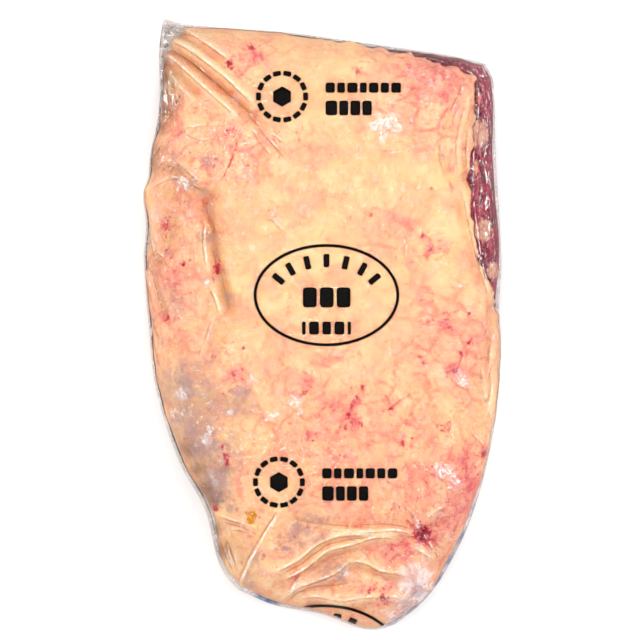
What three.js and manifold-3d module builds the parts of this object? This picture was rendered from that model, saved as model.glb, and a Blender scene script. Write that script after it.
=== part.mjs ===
// A vacuum-packed raw picanha, the whole rump cap of beef, lying on its lean side with the fat up.
//
// Three solids, in millimetres, +Z up, +Y towards the thick end, origin under the middle of the pack:
//   lean_meat   the muscle, flat underneath, bare along the thick end's corner and the right flank
//   fat_cap     the fat that covers the muscle and wraps its other flanks, folded by the shrunk film
//   vacuum_bag  the loose film that stands out round the meat, widest at the bag's free corner
//
// Each solid is a box whose grid is bent to the outline: its top face becomes the upper surface, its
// four sides roll over the rim, and its bottom face becomes the underside.

import * as THREE from "three";
import { mergeVertices } from "three/addons/utils/BufferGeometryUtils.js";
import Module from "manifold-3d";

const wasm = await Module();
wasm.setup();

// ---- Driving dimensions --------------------------------------------------------------------------

const PACK_LENGTH = 280; // along Y, over the loose film
const HALF_LENGTH = PACK_LENGTH / 2;
const FAT_DEPTH = 9; // the fat's depth over the muscle
const RESTING_INSET = 9; // how far the flat underside lies inside the muscle's flank
const WIDEST_SHARE = 0.28; // the height of the widest line, as a share of the pack's thickness
const FILM_GAP = 0.3; // clearance between pieces that touch
const FILM_HALF = 0.7; // half the thickness of two clinging films
const EAR_FULLNESS = 0.22; // how much a wide stretch of loose film puffs up, per mm of its width

// The pack's thickness from the narrow tip to the thick end: [y, thickness].
const THICKNESS = [
  [-HALF_LENGTH, 17],
  [-112, 25],
  [-70, 36],
  [-20, 44.5],
  [40, 48],
  [100, 46],
  [HALF_LENGTH, 39],
];

// The bag from above, one list for each side: [x, y, film, wrap]. film is how far the loose film
// stands out past the meat, and wrap is how thick the fat is that wraps the flank there, 0 where the
// muscle is bare.
const SIDES = {
  left: [
    [-38.4, -121.7, 3.6, 5],
    [-47.6, -107, 3.2, 5],
    [-53.4, -84.7, 3.2, 6],
    [-65.3, -62.8, 3, 6],
    [-75.8, -30, 1.7, 6],
    [-79.6, 2, 1.1, 6],
    [-81.8, 30, 1, 6],
    [-80.3, 44, 1, 6],
    [-81.8, 58, 1, 6],
    [-78.9, 78, 1, 6],
    [-74.6, 103, 1, 6],
    [-75.2, 127, 4.6, 6],
    [-72.6, HALF_LENGTH, 11, 6],
  ],
  bottom: [
    [-38.4, -121.7, 3.6, 5],
    [-22, -128.4, 2, 5],
    [0.5, -132.7, 1, 5],
    [17.5, -139.2, 1.2, 5],
    [33.3, -137, 3, 5],
  ],
  right: [
    [33.3, -137, 3, 5],
    [53.9, -116.7, 2.4, 5],
    [67.2, -90.2, 1.8, 6],
    [77.7, -51.8, 1.1, 6],
    [81.8, -13.5, 1, 5],
    [80.9, 8, 1, 1],
    [81.8, 30, 1, 0],
    [79.3, 77, 1, 0],
    [77.8, 111, 1.2, 0],
    [74, 118.4, 1.4, 0],
  ],
  top: [
    [-72.6, HALF_LENGTH, 11, 6],
    [-64, 137.4, 4.2, 6],
    [-46, 135.3, 1.1, 6],
    [-16, 133.2, 1, 5],
    [10, 129.6, 1, 1],
    [34, 126.2, 1, 0],
    [60.8, 122.2, 1.2, 0],
    [74, 118.4, 1.4, 0],
  ],
};

// Where the fat ends on bare muscle: up the right flank and along the thick end.
const FAT_EDGE = {
  right: [
    [79.6, 9, 0, 0],
    [75.6, 26, 0, 0],
    [71.4, 39, 0, 0],
    [69, 55, 0, 0],
    [72, 73, 0, 0],
    [70.4, 88, 0, 0],
    [71.4, 102, 0, 0],
    [70.5, 111.5, 0, 0],
  ],
  top: [
    [12, 128.4, 0, 0],
    [24, 126, 0, 0],
    [37, 123.6, 0, 0],
    [52, 119.4, 0, 0],
    [63, 116, 0, 0],
    [70.5, 111.5, 0, 0],
  ],
};

// The folds that the shrunk film presses into the fat: [height, half width, points along it]. A
// negative height is a groove.
const FOLDS = {
  corner_ridge_upper: [2, 4, [-64, 129], [-54, 124], [-44, 117], [-35, 106]],
  corner_groove: [-3.6, 4, [-69, 124], [-61, 119.5], [-51, 112], [-40, 101], [-31, 92]],
  corner_ridge_lower: [2.2, 4, [-70, 116], [-60, 110], [-51, 101], [-43, 92]],
  flank_crease: [-2.8, 4, [-79, 60], [-65, 70], [-53, 61], [-46, 53]],
  flank_valley: [-2.4, 5, [-52, 54], [-49, 36], [-46, 20], [-42, 5]],
  flank_hollow: [-1.8, 8, [-71, 46], [-69, 38]],
  left_edge_crease: [-2, 4, [-79, 34], [-74, 26], [-71, 2]],
  right_valley: [-1.4, 5, [64, 108], [56, 90], [54, 68], [60, 56]],
  right_lower_crease: [-1.6, 4, [76, 0], [73, -18], [76, -36]],
  tip_crest: [2.6, 4, [-22, -108], [-8, -100], [6, -94], [42, -92]],
  tip_groove: [-2.2, 3.6, [-18, -118], [-2, -109], [14, -103], [40, -101]],
  tip_second_crest: [2.2, 4, [-12, -124], [2, -118], [16, -112], [38, -112]],
  tip_film_line: [1.6, 4, [-19, -84], [-28, -97], [-37, -116]],
  tip_pucker: [-4.5, 5, [43, -94], [46, -97]],
};
const FOLD_FADE = 7; // a fold rises from nothing over this length at each end

// Grid cells of each box: across, along and down the flank. They lie closer together at the rim.
const FAT_CELLS = [36, 54, 6];
const LEAN_CELLS = [14, 22, 6];
const BAG_CELLS = [14, 24, 2];
const RIM_CROWDING = 0.36; // how much closer than the average, as a share

// ---- Curves --------------------------------------------------------------------------------------

const clamp = (value, low, high) => Math.min(high, Math.max(low, value));
const mix = (a, b, share) => a + (b - a) * share;
const smooth = (a, b, value) => {
  const share = clamp((value - a) / (b - a), 0, 1);
  return share * share * (3 - 2 * share);
};

// The point at a share of the way along a smooth curve through points, by the distance between them.
function along(points, share) {
  const knots = [0];
  for (let i = 1; i < points.length; i++) {
    const [dx, dy] = [points[i][0] - points[i - 1][0], points[i][1] - points[i - 1][1]];
    knots.push(knots[i - 1] + Math.hypot(dx, dy));
  }
  const place = clamp(share, 0, 1) * knots.at(-1);
  let i = 0;
  while (i < points.length - 2 && place > knots[i + 1]) i++;
  const slope = (k, axis) => {
    const [before, after] = [Math.max(k - 1, 0), Math.min(k + 1, points.length - 1)];
    return (points[after][axis] - points[before][axis]) / (knots[after] - knots[before]);
  };
  const span = knots[i + 1] - knots[i];
  const f = (place - knots[i]) / span;
  return points[0].map((_, axis) => {
    const [start, end] = [points[i][axis], points[i + 1][axis]];
    const ease = f * f * (3 - 2 * f);
    const leave = f * (1 - f) * (1 - f) * span * slope(i, axis);
    const arrive = f * f * (1 - f) * span * slope(i + 1, axis);
    return mix(start, end, ease) + leave - arrive;
  });
}

// The thickness table read smoothly at y.
function thicknessAt(y) {
  const last = THICKNESS.length - 2;
  let i = 0;
  while (i < last && y > THICKNESS[i + 1][0]) i++;
  const [[y0, low], [y1, high]] = [THICKNESS[i], THICKNESS[i + 1]];
  const share = clamp((y - y0) / (y1 - y0), 0, 1);
  return mix(low, high, mix(share, smooth(0, 1, share), 0.35));
}

// ---- The pack's surface --------------------------------------------------------------------------

const SPINE = { x: 2, low: -75, high: 70 }; // the line inside the meat that its flanks face

// The unit direction from a point of the outline to the spine.
function inward(x, y) {
  const [dx, dy] = [SPINE.x - x, clamp(y, SPINE.low, SPINE.high) - y];
  const length = Math.hypot(dx, dy);
  return [dx / length, dy / length];
}

// The height of the fat's upper surface: domed across, and falling away towards the left flank.
function packTop(x, y) {
  const fall = 6.5 * smooth(-38, -82, x);
  const dome = 2.2 * (x / 80) ** 2;
  return thicknessAt(y) - fall - dome;
}

// Soft lumps of fat under the film.
function lumps(x, y) {
  const broad = Math.sin(x / 13 + 1.3) * Math.sin(y / 16 - 0.4);
  const small = Math.sin(x / 6.1 + y / 17) * Math.sin(y / 7.3 - x / 21);
  return 0.55 * broad + 0.3 * small;
}

// How far a fold lifts or sinks the surface at a point.
function foldAt([height, halfWidth, ...points], x, y) {
  let [nearest, travelled, place] = [Infinity, 0, 0];
  for (let i = 1; i < points.length; i++) {
    const [[ax, ay], [bx, by]] = [points[i - 1], points[i]];
    const [dx, dy] = [bx - ax, by - ay];
    const length = Math.hypot(dx, dy);
    const share = clamp(((x - ax) * dx + (y - ay) * dy) / length ** 2, 0, 1);
    const distance = Math.hypot(x - ax - share * dx, y - ay - share * dy);
    if (distance < nearest) {
      nearest = distance;
      place = travelled + share * length;
    }
    travelled += length;
  }
  const fade = Math.min(FOLD_FADE, travelled / 2 + 0.1);
  const ends = smooth(-fade, fade, place) * smooth(-fade, fade, travelled - place);
  return height * Math.exp(-((nearest / halfWidth) ** 2)) * ends;
}

function relief(x, y) {
  return Object.values(FOLDS).reduce((sum, fold) => sum + foldAt(fold, x, y), lumps(x, y));
}

// ---- Bending a box to an outline -----------------------------------------------------------------

// A point of the patch that four side curves bound, for u across and v along, both from -1 to 1.
// inset(point, v) says how far inside its curve the patch's edge lies.
function patch(sides, u, v, inset) {
  const [s, t] = [(u + 1) / 2, (v + 1) / 2];
  const edge = (name, share) => {
    const point = along(sides[name], share);
    const [ix, iy] = inward(point[0], point[1]);
    const depth = inset(point);
    return [point[0] + ix * depth, point[1] + iy * depth];
  };
  const [left, right] = [edge("left", t), edge("right", t)];
  const [bottom, top] = [edge("bottom", s), edge("top", s)];
  const corners = [edge("left", 0), edge("right", 0), edge("left", 1), edge("right", 1)];
  return [0, 1].map((axis) => {
    const across = mix(left[axis], right[axis], s) + mix(bottom[axis], top[axis], t);
    const low = mix(corners[0][axis], corners[1][axis], s);
    const high = mix(corners[2][axis], corners[3][axis], s);
    return across - mix(low, high, t);
  });
}

// The place that a point of the box moves to. shape gives the sides, the place of the widest edge
// inside them, the roll of the rim above and below that edge, the level of the box's side that becomes
// that edge, the heights, and how strongly the folds press into the surface.
function bentPoint(shape, [u, v, w]) {
  const above = w >= shape.level;
  const share = Math.abs((w - shape.level) / ((above ? 1 : -1) - shape.level));
  const turn = ((1 - share) * Math.PI) / 2; // a quarter turn at the widest edge
  const rim = above ? shape.rimAbove : shape.rimBelow;
  const inset = (point) => shape.edge(point) + (1 - Math.sin(turn)) * rim(point);
  const crowd = (value) => value + (RIM_CROWDING * Math.sin(Math.PI * value)) / Math.PI;
  const [x, y] = patch(shape.sides, crowd(u), crowd(v), inset);
  const face = above ? shape.top(x, y) : shape.bottom(x, y);
  const z = mix(shape.middle(x, y), face, Math.cos(turn) ** shape.fullness);
  const push = shape.folded * relief(x, y) * smooth(4, 12, z);
  const [ix, iy] = inward(x, y);
  const sideways = push * Math.sin(turn);
  return [x - ix * sideways, y - iy * sideways, z + push * (above ? Math.cos(turn) : 0)];
}

// A closed solid bent from a box, each grid cell split along the diagonal nearer to the true form.
function bentBox([across, length, down], shape) {
  const box = new THREE.BoxGeometry(2, 2, 2, across, length, down);
  box.deleteAttribute("normal");
  box.deleteAttribute("uv");
  const geometry = mergeVertices(box);
  const position = geometry.getAttribute("position");
  const before = [];
  for (let i = 0; i < position.count; i++) {
    before.push([position.getX(i), position.getY(i), position.getZ(i)]);
  }
  const after = before.map((point) => bentPoint(shape, point));
  after.forEach((point, i) => position.setXYZ(i, ...point));

  const index = geometry.getIndex();
  const offMiddle = (a, b, middle) =>
    Math.hypot(...middle.map((value, axis) => (after[a][axis] + after[b][axis]) / 2 - value));
  for (let i = 0; i < index.count; i += 6) {
    const [a, b, d, c] = [0, 1, 2, 4].map((k) => index.getX(i + k));
    const centre = [0, 1, 2].map((axis) =>
      [a, b, c, d].reduce((sum, corner) => sum + before[corner][axis] / 4, 0),
    );
    const middle = bentPoint(shape, centre);
    if (offMiddle(a, c, middle) < offMiddle(b, d, middle)) {
      [a, b, c, a, c, d].forEach((corner, k) => index.setX(i + k, corner));
    }
  }
  return geometry;
}

function solid(geometry) {
  const mesh = new wasm.Mesh({
    numProp: 3,
    vertProperties: new Float32Array(geometry.getAttribute("position").array),
    triVerts: new Uint32Array(geometry.getIndex().array),
  });
  return new wasm.Manifold(mesh);
}

// ---- The three pieces ----------------------------------------------------------------------------

const widest = (x, y) => WIDEST_SHARE * thicknessAt(y);

// The muscle. grow makes it larger all round, to cut the pieces that lie against it.
function leanMeat(grow) {
  const shape = {
    sides: SIDES,
    edge: ([, , film, wrap]) => film + wrap - grow,
    rimAbove: ([, , , wrap]) => 14 - wrap,
    rimBelow: () => RESTING_INSET,
    level: 0,
    top: (x, y) => packTop(x, y) - FAT_DEPTH + grow,
    middle: widest,
    bottom: () => -grow,
    fullness: 0.8,
    folded: 0.35,
  };
  return solid(bentBox(LEAN_CELLS, shape));
}

// The fat: whole at first, then cut by the muscle under it. Its right side follows the flank as far as
// the fat wraps it, then leaves it for the edge where the muscle shows.
function fatCap(grow) {
  const wrapped = ([, , , wrap]) => wrap >= 4;
  const shape = {
    sides: {
      left: SIDES.left,
      bottom: SIDES.bottom,
      right: [...SIDES.right.filter(wrapped), ...FAT_EDGE.right],
      top: [...SIDES.top.filter(wrapped), ...FAT_EDGE.top],
    },
    edge: ([, , film]) => film - grow,
    rimAbove: ([, , , wrap]) => mix(9, 17, smooth(0, 5, wrap)),
    rimBelow: ([, , , wrap]) => mix(1.5, 6, smooth(0, 5, wrap)),
    level: -1 / 3,
    top: (x, y) => packTop(x, y) + grow,
    middle: (x, y) => widest(x, y) + 1,
    bottom: (x, y) => 0.12 * thicknessAt(y) - grow,
    fullness: 0.85,
    folded: 1,
  };
  return solid(bentBox(FAT_CELLS, shape));
}

// The loose film: a thin sheet over the whole outline, cut by the meat, of which the skirt is left.
function vacuumBag(...meat) {
  const puff = (x, y) => {
    const toEar = Math.hypot(x - SIDES.left.at(-1)[0], y - SIDES.left.at(-1)[1]);
    return FILM_HALF + EAR_FULLNESS * 11 * smooth(26, 4, toEar);
  };
  const shape = {
    sides: SIDES,
    edge: () => 0,
    rimAbove: () => 2,
    rimBelow: () => 2,
    level: 0,
    top: (x, y) => widest(x, y) + puff(x, y),
    middle: widest,
    bottom: (x, y) => widest(x, y) - puff(x, y),
    fullness: 1,
    folded: 0,
  };
  const sheet = solid(bentBox(BAG_CELLS, shape));
  const scraps = meat.reduce((left, piece) => left.subtract(piece), sheet).decompose();
  return scraps.reduce((most, scrap) => (scrap.volume() > most.volume() ? scrap : most));
}

function named(name, manifold, colour, finish) {
  const { numProp, vertProperties, triVerts } = manifold.getMesh();
  const geometry = new THREE.BufferGeometry();
  const points = new Float32Array((vertProperties.length / numProp) * 3);
  for (let i = 0; i < points.length / 3; i++) {
    points.set(vertProperties.subarray(i * numProp, i * numProp + 3), i * 3);
  }
  geometry.setAttribute("position", new THREE.BufferAttribute(points, 3));
  geometry.setIndex(new THREE.BufferAttribute(triVerts, 1));
  geometry.computeVertexNormals();
  const material = new THREE.MeshStandardMaterial({ color: colour, metalness: 0, ...finish });
  const mesh = new THREE.Mesh(geometry, material);
  mesh.name = name;
  return mesh;
}

const lean = leanMeat(0);
const fat = fatCap(0).subtract(leanMeat(FILM_GAP));
const bag = vacuumBag(fatCap(FILM_GAP), leanMeat(FILM_GAP));

const picanha = new THREE.Group();
picanha.add(
  named("lean_meat", lean, 0x8c2a35, { roughness: 0.35 }),
  named("fat_cap", fat, 0xf4cf9f, { roughness: 0.45 }),
  named("vacuum_bag", bag, 0xdfe4ea, { roughness: 0.12, transparent: true, opacity: 0.35 }),
);

// The outline is drawn from the photograph's middle, so the whole moves a fraction of a millimetre to
// put the origin under the middle of its box.
const bounds = new THREE.Box3().setFromObject(picanha);
const middle = bounds.getCenter(new THREE.Vector3());
picanha.children.forEach((mesh) => mesh.geometry.translate(-middle.x, -middle.y, -bounds.min.z));

export default picanha;
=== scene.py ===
"""A vacuum-packed raw picanha, lying with its fat up and seen from straight above."""

import math

import bpy
import numpy as np
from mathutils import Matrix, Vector, noise


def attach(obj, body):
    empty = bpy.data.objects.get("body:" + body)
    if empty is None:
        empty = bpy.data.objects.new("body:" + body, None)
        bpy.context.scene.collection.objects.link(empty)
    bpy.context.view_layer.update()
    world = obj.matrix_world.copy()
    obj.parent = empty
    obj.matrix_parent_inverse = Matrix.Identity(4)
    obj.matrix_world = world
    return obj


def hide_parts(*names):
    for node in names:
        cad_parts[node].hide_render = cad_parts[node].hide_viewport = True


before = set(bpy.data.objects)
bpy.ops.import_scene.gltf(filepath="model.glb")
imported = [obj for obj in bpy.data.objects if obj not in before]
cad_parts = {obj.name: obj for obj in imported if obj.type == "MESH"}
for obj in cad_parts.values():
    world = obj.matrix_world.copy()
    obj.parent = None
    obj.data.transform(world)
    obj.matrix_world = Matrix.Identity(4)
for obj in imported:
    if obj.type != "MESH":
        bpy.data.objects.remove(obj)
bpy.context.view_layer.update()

# --------------------------------------------------------------------------------------------------
# Lean meat: the rump cap's muscle, deep red, moist and grained along the pack. It is bare along the
# thick end's corner and the right flank, with pale nodules of fat in it, and flat underneath.
# --------------------------------------------------------------------------------------------------

# The outline is drawn in millimetres, with the narrow end toward -Y and the resting face at Z 0.
MM = 0.001
HALF_LENGTH = 140.0  # of the bag, along Y
CENTRING = (0.218, 0.384)  # from the outline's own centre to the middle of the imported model's box
SPINE_X, SPINE_ENDS = 2.0, (-75.0, 70.0)  # the line inside the meat that the flanks face
FAT_DEPTH = 9.0
RESTING_INSET = 9.0  # how far the lean's resting face stays inside its widest outline
WIDEST_SHARE = 0.28  # where the pack is widest, as a share of its thickness
LEFT_FALL, FALL_FROM, FALL_TO = 6.5, -38.0, -82.0  # the top sinks toward the left flank
CROWN, CROWN_REACH = 2.2, 80.0  # and a little toward both flanks
CLING = 0.3  # between two pieces that touch
RIM_CROWDING = 0.25
THICKNESS = [(-HALF_LENGTH, 17), (-112, 25), (-70, 36), (-20, 44.5), (40, 48), (100, 46), (HALF_LENGTH, 39)]
THICKNESS_EASE = 0.35

# The bag from above, side by side: x, y, how far loose film stands out past the meat, and how thick
# the fat is that wraps the flank there.
SIDES = {
    "left": [(-38.4, -121.7, 2.2, 5), (-44.2, -115, 2.2, 5), (-48, -107, 2.2, 5), (-53.6, -84.7, 2.4, 6),
             (-65.4, -62.8, 2.4, 6), (-75.8, -30, 1.6, 6), (-79.4, 2, 1.1, 6), (-81.4, 30, 1, 6),
             (-80.3, 44, 1, 6), (-81.6, 59, 1, 6), (-79.2, 67.5, 1, 6), (-78.3, 78, 1, 6),
             (-75.4, 91, 1, 6), (-74, 104, 1, 6), (-74.4, 124, 3.6, 6), (-72.6, HALF_LENGTH, 11, 6)],
    "bottom": [(-38.4, -121.7, 2.2, 5), (-22, -128.6, 1.6, 5), (0.5, -133, 1, 5), (17.5, -139.4, 1.2, 5),
               (26, -140, 1.4, 5), (33.6, -137.4, 1.6, 5)],
    "right": [(33.6, -137.4, 1.6, 5), (45, -128.4, 1.6, 5), (54.2, -117, 1.5, 5), (67.5, -90.4, 1.4, 6),
              (77.9, -51.8, 1.1, 6), (81.8, -13.5, 1, 5), (80.9, 8, 1, 1), (81.8, 30, 1, 0), (79.3, 77, 1, 0),
              (78.1, 111, 1.2, 0), (74.4, 118.8, 1.4, 0)],
    "top": [(-72.6, HALF_LENGTH, 11, 6), (-64, 137.4, 4.2, 6), (-46, 135.3, 1.1, 6), (-16, 133.2, 1, 5),
            (10, 129.6, 1, 1), (34, 126.2, 1, 0), (60.8, 122.2, 1.2, 0), (74.4, 118.8, 1.4, 0)],
}


def mix(a, b, share):
    return a + (b - a) * share


def smooth(low, high, value):
    share = np.clip((value - low) / (high - low), 0, 1)
    return share * share * (3 - 2 * share)


def along(points, share):
    """The points at shares of the way along a smooth curve through given points."""
    points = np.array(points, float)
    knots = np.concatenate([[0], np.cumsum(np.hypot(*np.diff(points[:, :2], axis=0).T))])
    place = np.clip(share, 0, 1) * knots[-1]
    i = np.clip(np.searchsorted(knots, place, side="right") - 1, 0, len(points) - 2)
    ends = np.arange(len(points))
    before, after = np.maximum(ends - 1, 0), np.minimum(ends + 1, len(points) - 1)
    slope = (points[after] - points[before]) / (knots[after] - knots[before])[:, None]
    span = (knots[i + 1] - knots[i])[:, None]
    f = ((place - knots[i])[:, None]) / span
    leave, arrive = f * (1 - f) ** 2 * span * slope[i], f * f * (1 - f) * span * slope[i + 1]
    return mix(points[i], points[i + 1], f * f * (3 - 2 * f)) + leave - arrive


def thickness_at(y):
    table = np.array(THICKNESS, float)
    i = np.clip(np.searchsorted(table[:, 0], y, side="right") - 1, 0, len(table) - 2)
    share = np.clip((y - table[i, 0]) / (table[i + 1, 0] - table[i, 0]), 0, 1)
    return mix(table[i, 1], table[i + 1, 1], mix(share, smooth(0, 1, share), THICKNESS_EASE))


def inward(x, y):
    """The unit direction from a point of the outline to the line inside the meat."""
    dx, dy = SPINE_X - x, np.clip(y, *SPINE_ENDS) - y
    length = np.hypot(dx, dy)
    return dx / length, dy / length


def pack_top(x, y):
    return thickness_at(y) - LEFT_FALL * smooth(FALL_FROM, FALL_TO, x) - CROWN * (x / CROWN_REACH) ** 2


def widest(x, y):
    return WIDEST_SHARE * thickness_at(y)


def patch(sides, u, v, inset):
    """Points of the patch that four side curves bound, for u across and v along."""
    s, t = (u + 1) / 2, (v + 1) / 2

    def edge(name, share):
        point = along(sides[name], share)
        ix, iy = inward(point[:, 0], point[:, 1])
        depth = inset(point[:, 2], point[:, 3])
        return np.stack([point[:, 0] + ix * depth, point[:, 1] + iy * depth])

    zero, one = np.zeros_like(s), np.ones_like(s)
    across = mix(edge("left", t), edge("right", t), s) + mix(edge("bottom", s), edge("top", s), t)
    low = mix(edge("left", zero), edge("right", zero), s)
    high = mix(edge("left", one), edge("right", one), s)
    return across - mix(low, high, t)


def bent_box(name, cells, levels, shape):
    """A closed piece: a grid with sides, bent to the outline as shape says."""
    bpy.ops.object.select_all(action="DESELECT")
    bpy.ops.mesh.primitive_grid_add(x_subdivisions=cells[0], y_subdivisions=cells[1], size=2,
                                    location=(0, 0, 1))
    piece = bpy.context.object
    piece.name = piece.data.name = name
    bpy.ops.object.mode_set(mode="EDIT")
    bpy.ops.mesh.select_all(action="SELECT")
    bpy.ops.mesh.extrude_region_move(TRANSFORM_OT_translate={"value": (0, 0, -2)})
    for level in levels:
        bpy.ops.mesh.select_all(action="SELECT")
        bpy.ops.mesh.bisect(plane_co=(0, 0, level), plane_no=(0, 0, 1))
    bpy.ops.mesh.select_all(action="SELECT")
    bpy.ops.mesh.normals_make_consistent(inside=False)
    bpy.ops.object.mode_set(mode="OBJECT")
    bpy.ops.object.transform_apply(location=True, rotation=True, scale=True)
    u, v, w = points_of(piece).T
    above = w >= shape["level"] - 1e-6
    share = np.abs((w - shape["level"]) / (np.where(above, 1, -1) - shape["level"]))
    turn = (1 - share) * math.pi / 2
    crowd = lambda value: value + RIM_CROWDING * np.sin(math.pi * value) / math.pi

    def inset(film, wrap):
        rim = np.where(above, shape["rim_above"](wrap), shape["rim_below"](wrap))
        return shape["edge"](film, wrap) + (1 - np.sin(turn)) * rim

    x, y = patch(shape["sides"], crowd(u), crowd(v), inset)
    face = np.where(above, shape["top"](x, y), shape["bottom"](x, y))
    z = mix(shape["middle"](x, y), face, np.abs(np.cos(turn)) ** shape["fullness"])
    push = shape["relief"](x, y, z)
    ix, iy = inward(x, y)
    sideways = push * np.sin(turn)
    upward = push * np.where(above, np.cos(turn), 0)
    place_points(piece, np.stack([x - ix * sideways, y - iy * sideways, z + upward], axis=1))
    return piece


def points_of(piece):
    flat = np.empty(len(piece.data.vertices) * 3)
    piece.data.vertices.foreach_get("co", flat)
    return flat.reshape(-1, 3)


def place_points(piece, points):
    piece.data.vertices.foreach_set("co", points.ravel())
    piece.data.update()


def in_metres(piece):
    """Moves a finished piece from the outline's millimetres into the frame."""
    place_points(piece, (points_of(piece) - (*CENTRING, 0)) * MM)
    for polygon in piece.data.polygons:
        polygon.use_smooth = True


def paint(piece, name, values):
    layer = piece.data.attributes.new(name, "FLOAT", "POINT")
    layer.data.foreach_set("value", np.clip(values, 0, 1).astype(np.float32))


# Nodules of fat in the bare lean: x, y, radius across, radius along.
NODULES = [
    (71.5, 86, 5, 8.2), (69.5, 70.5, 2.4, 4.4), (73, 42.5, 5.2, 6.8), (77.5, 24, 3.8, 4.8),
    (70.5, 102, 1.6, 3),
]
NODULE_RIM = (0.3, 1.2)


def nodule_share(x, y):
    share = np.zeros(len(x))
    for cx, cy, across, length in NODULES:
        share = np.maximum(share, 1 - smooth(*NODULE_RIM, np.hypot((x - cx) / across, (y - cy) / length)))
    return share


def lean_relief(x, y, z):
    """Fibres and broad swells of the bare muscle, and its nodules, as heights in millimetres."""
    grain = 0.35 * np.sin(x / 1.9 + 1.2 * np.sin(y / 9)) + 0.3 * np.sin(y / 5.3 + x / 4) * np.sin(x / 3.1)
    broad = 0.55 * np.sin(x / 13 + 1.3) * np.sin(y / 16 - 0.4)
    return smooth(6, 12, z) * (grain + 0.35 * broad + nodule_share(x, y))


def lean_shape(grow):
    return {
        "sides": SIDES,
        "edge": lambda film, wrap: film + wrap - grow,
        "rim_above": lambda wrap: 14 - wrap,
        "rim_below": lambda wrap: RESTING_INSET + 0 * wrap,
        "level": 0,
        "top": lambda x, y: pack_top(x, y) - FAT_DEPTH + grow,
        "middle": widest,
        "bottom": lambda x, y: 0 * x - grow,
        "fullness": 0.8,
        "relief": lean_relief,
    }


LEAN_CELLS, LEAN_LEVELS = (84, 140), np.linspace(-1, 1, 19)[1:-1]
lean = bent_box("lean", LEAN_CELLS, LEAN_LEVELS, lean_shape(0))


def linear(hex_colour):
    """The linear colour of an sRGB hex value."""
    parts = [int(hex_colour[i:i + 2], 16) / 255 for i in (1, 3, 5)]
    return [c / 12.92 if c <= 0.04045 else ((c + 0.055) / 1.055) ** 2.4 for c in parts] + [1]


def finish(name):
    """A new material, and the one function that adds a node to it with its settings and links."""
    material = bpy.data.materials.new(name)
    material.use_nodes = True
    tree = material.node_tree
    tree.nodes.clear()

    def add(kind, inputs=(), out=0, **settings):
        node = tree.nodes.new("ShaderNode" + kind)
        for key, value in settings.items():
            setattr(node, key, value)
        for key, value in inputs.items() if isinstance(inputs, dict) else enumerate(inputs):
            if isinstance(value, bpy.types.NodeSocket):
                tree.links.new(value, node.inputs[key])
            else:
                node.inputs[key].default_value = linear(value) if isinstance(value, str) else value
        return node.outputs[out] if len(node.outputs) else node

    return material, add


EASED = {"interpolation_type": "SMOOTHSTEP"}


def coat(add, under, over, value, low, high, most=1.0):
    """Lays a colour over another as a value passes from low to high."""
    share = add("MapRange", (value, low, high, 0.0, most), **EASED)
    return add("Mix", {0: share, 6: under, 7: over}, 2, data_type="RGBA")


def wash(add, under, over, share, strength):
    """Lays a colour over another by a share times a strength."""
    share = add("Math", (share, strength), operation="MULTIPLY")
    return add("Mix", {0: share, 6: under, 7: over}, 2, data_type="RGBA")


def about_zero(add, value, gain):
    """A noise that runs about zero instead of 0.5, times a gain."""
    return add("Math", (add("Math", (value, 0.5), operation="SUBTRACT"), gain), operation="MULTIPLY")


def frayed(add, mark, value, gain):
    """A painted mark whose rim is frayed by a noise."""
    return add("Math", (mark, about_zero(add, value, gain)), operation="ADD")


def speckle(add, place, size_mm, detail=2.0, rough=0.5, twist=0.0, stretch=(1, 1, 1)):
    """Noise with features of a size in millimetres on the piece's own coordinates."""
    scaled = add("Mapping", {"Vector": place, "Scale": [1 / (MM * size_mm * s) for s in stretch]})
    inputs = {"Vector": scaled, "Scale": 1.0, "Detail": detail, "Roughness": rough, "Distortion": twist}
    return add("TexNoise", inputs)


def strayed(add, place, size_mm, wander_mm, **inputs):
    """The coordinates with a drift, in swirls of a size that stray by some millimetres."""
    drift = add("TexNoise", {"Vector": place, "Scale": 1 / (MM * size_mm), **inputs}, "Color")
    return add("VectorMath", (drift, [MM * wander_mm] * 3, place), operation="MULTIPLY_ADD")


def lobules(add, place, size_mm, wander_mm):
    """The distance from the seams between rounded cells, as a share of their size in millimetres."""
    inputs = {"Vector": strayed(add, place, size_mm, wander_mm, Detail=3.0), "Scale": 1 / (MM * size_mm)}
    return add("TexVoronoi", inputs, feature="DISTANCE_TO_EDGE")


def pinpoints(add, place, size_mm, share, radius=0.36):
    """Round dots in cells of a size in millimetres, in as many of the cells as the share asks for."""
    cells = add("TexVoronoi", {"Vector": place, "Scale": 1 / (MM * size_mm)}).node
    kept = add("Math", (add("SeparateColor", [cells.outputs["Color"]]), share), operation="LESS_THAN")
    dot = add("MapRange", (cells.outputs["Distance"], radius, 0.6 * radius), **EASED)
    return add("Math", (kept, dot), operation="MULTIPLY")


def painted(add, *names):
    """The shares that are painted on the piece under these names."""
    return [add("Attribute", out="Fac", attribute_name=name) for name in names]


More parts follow.
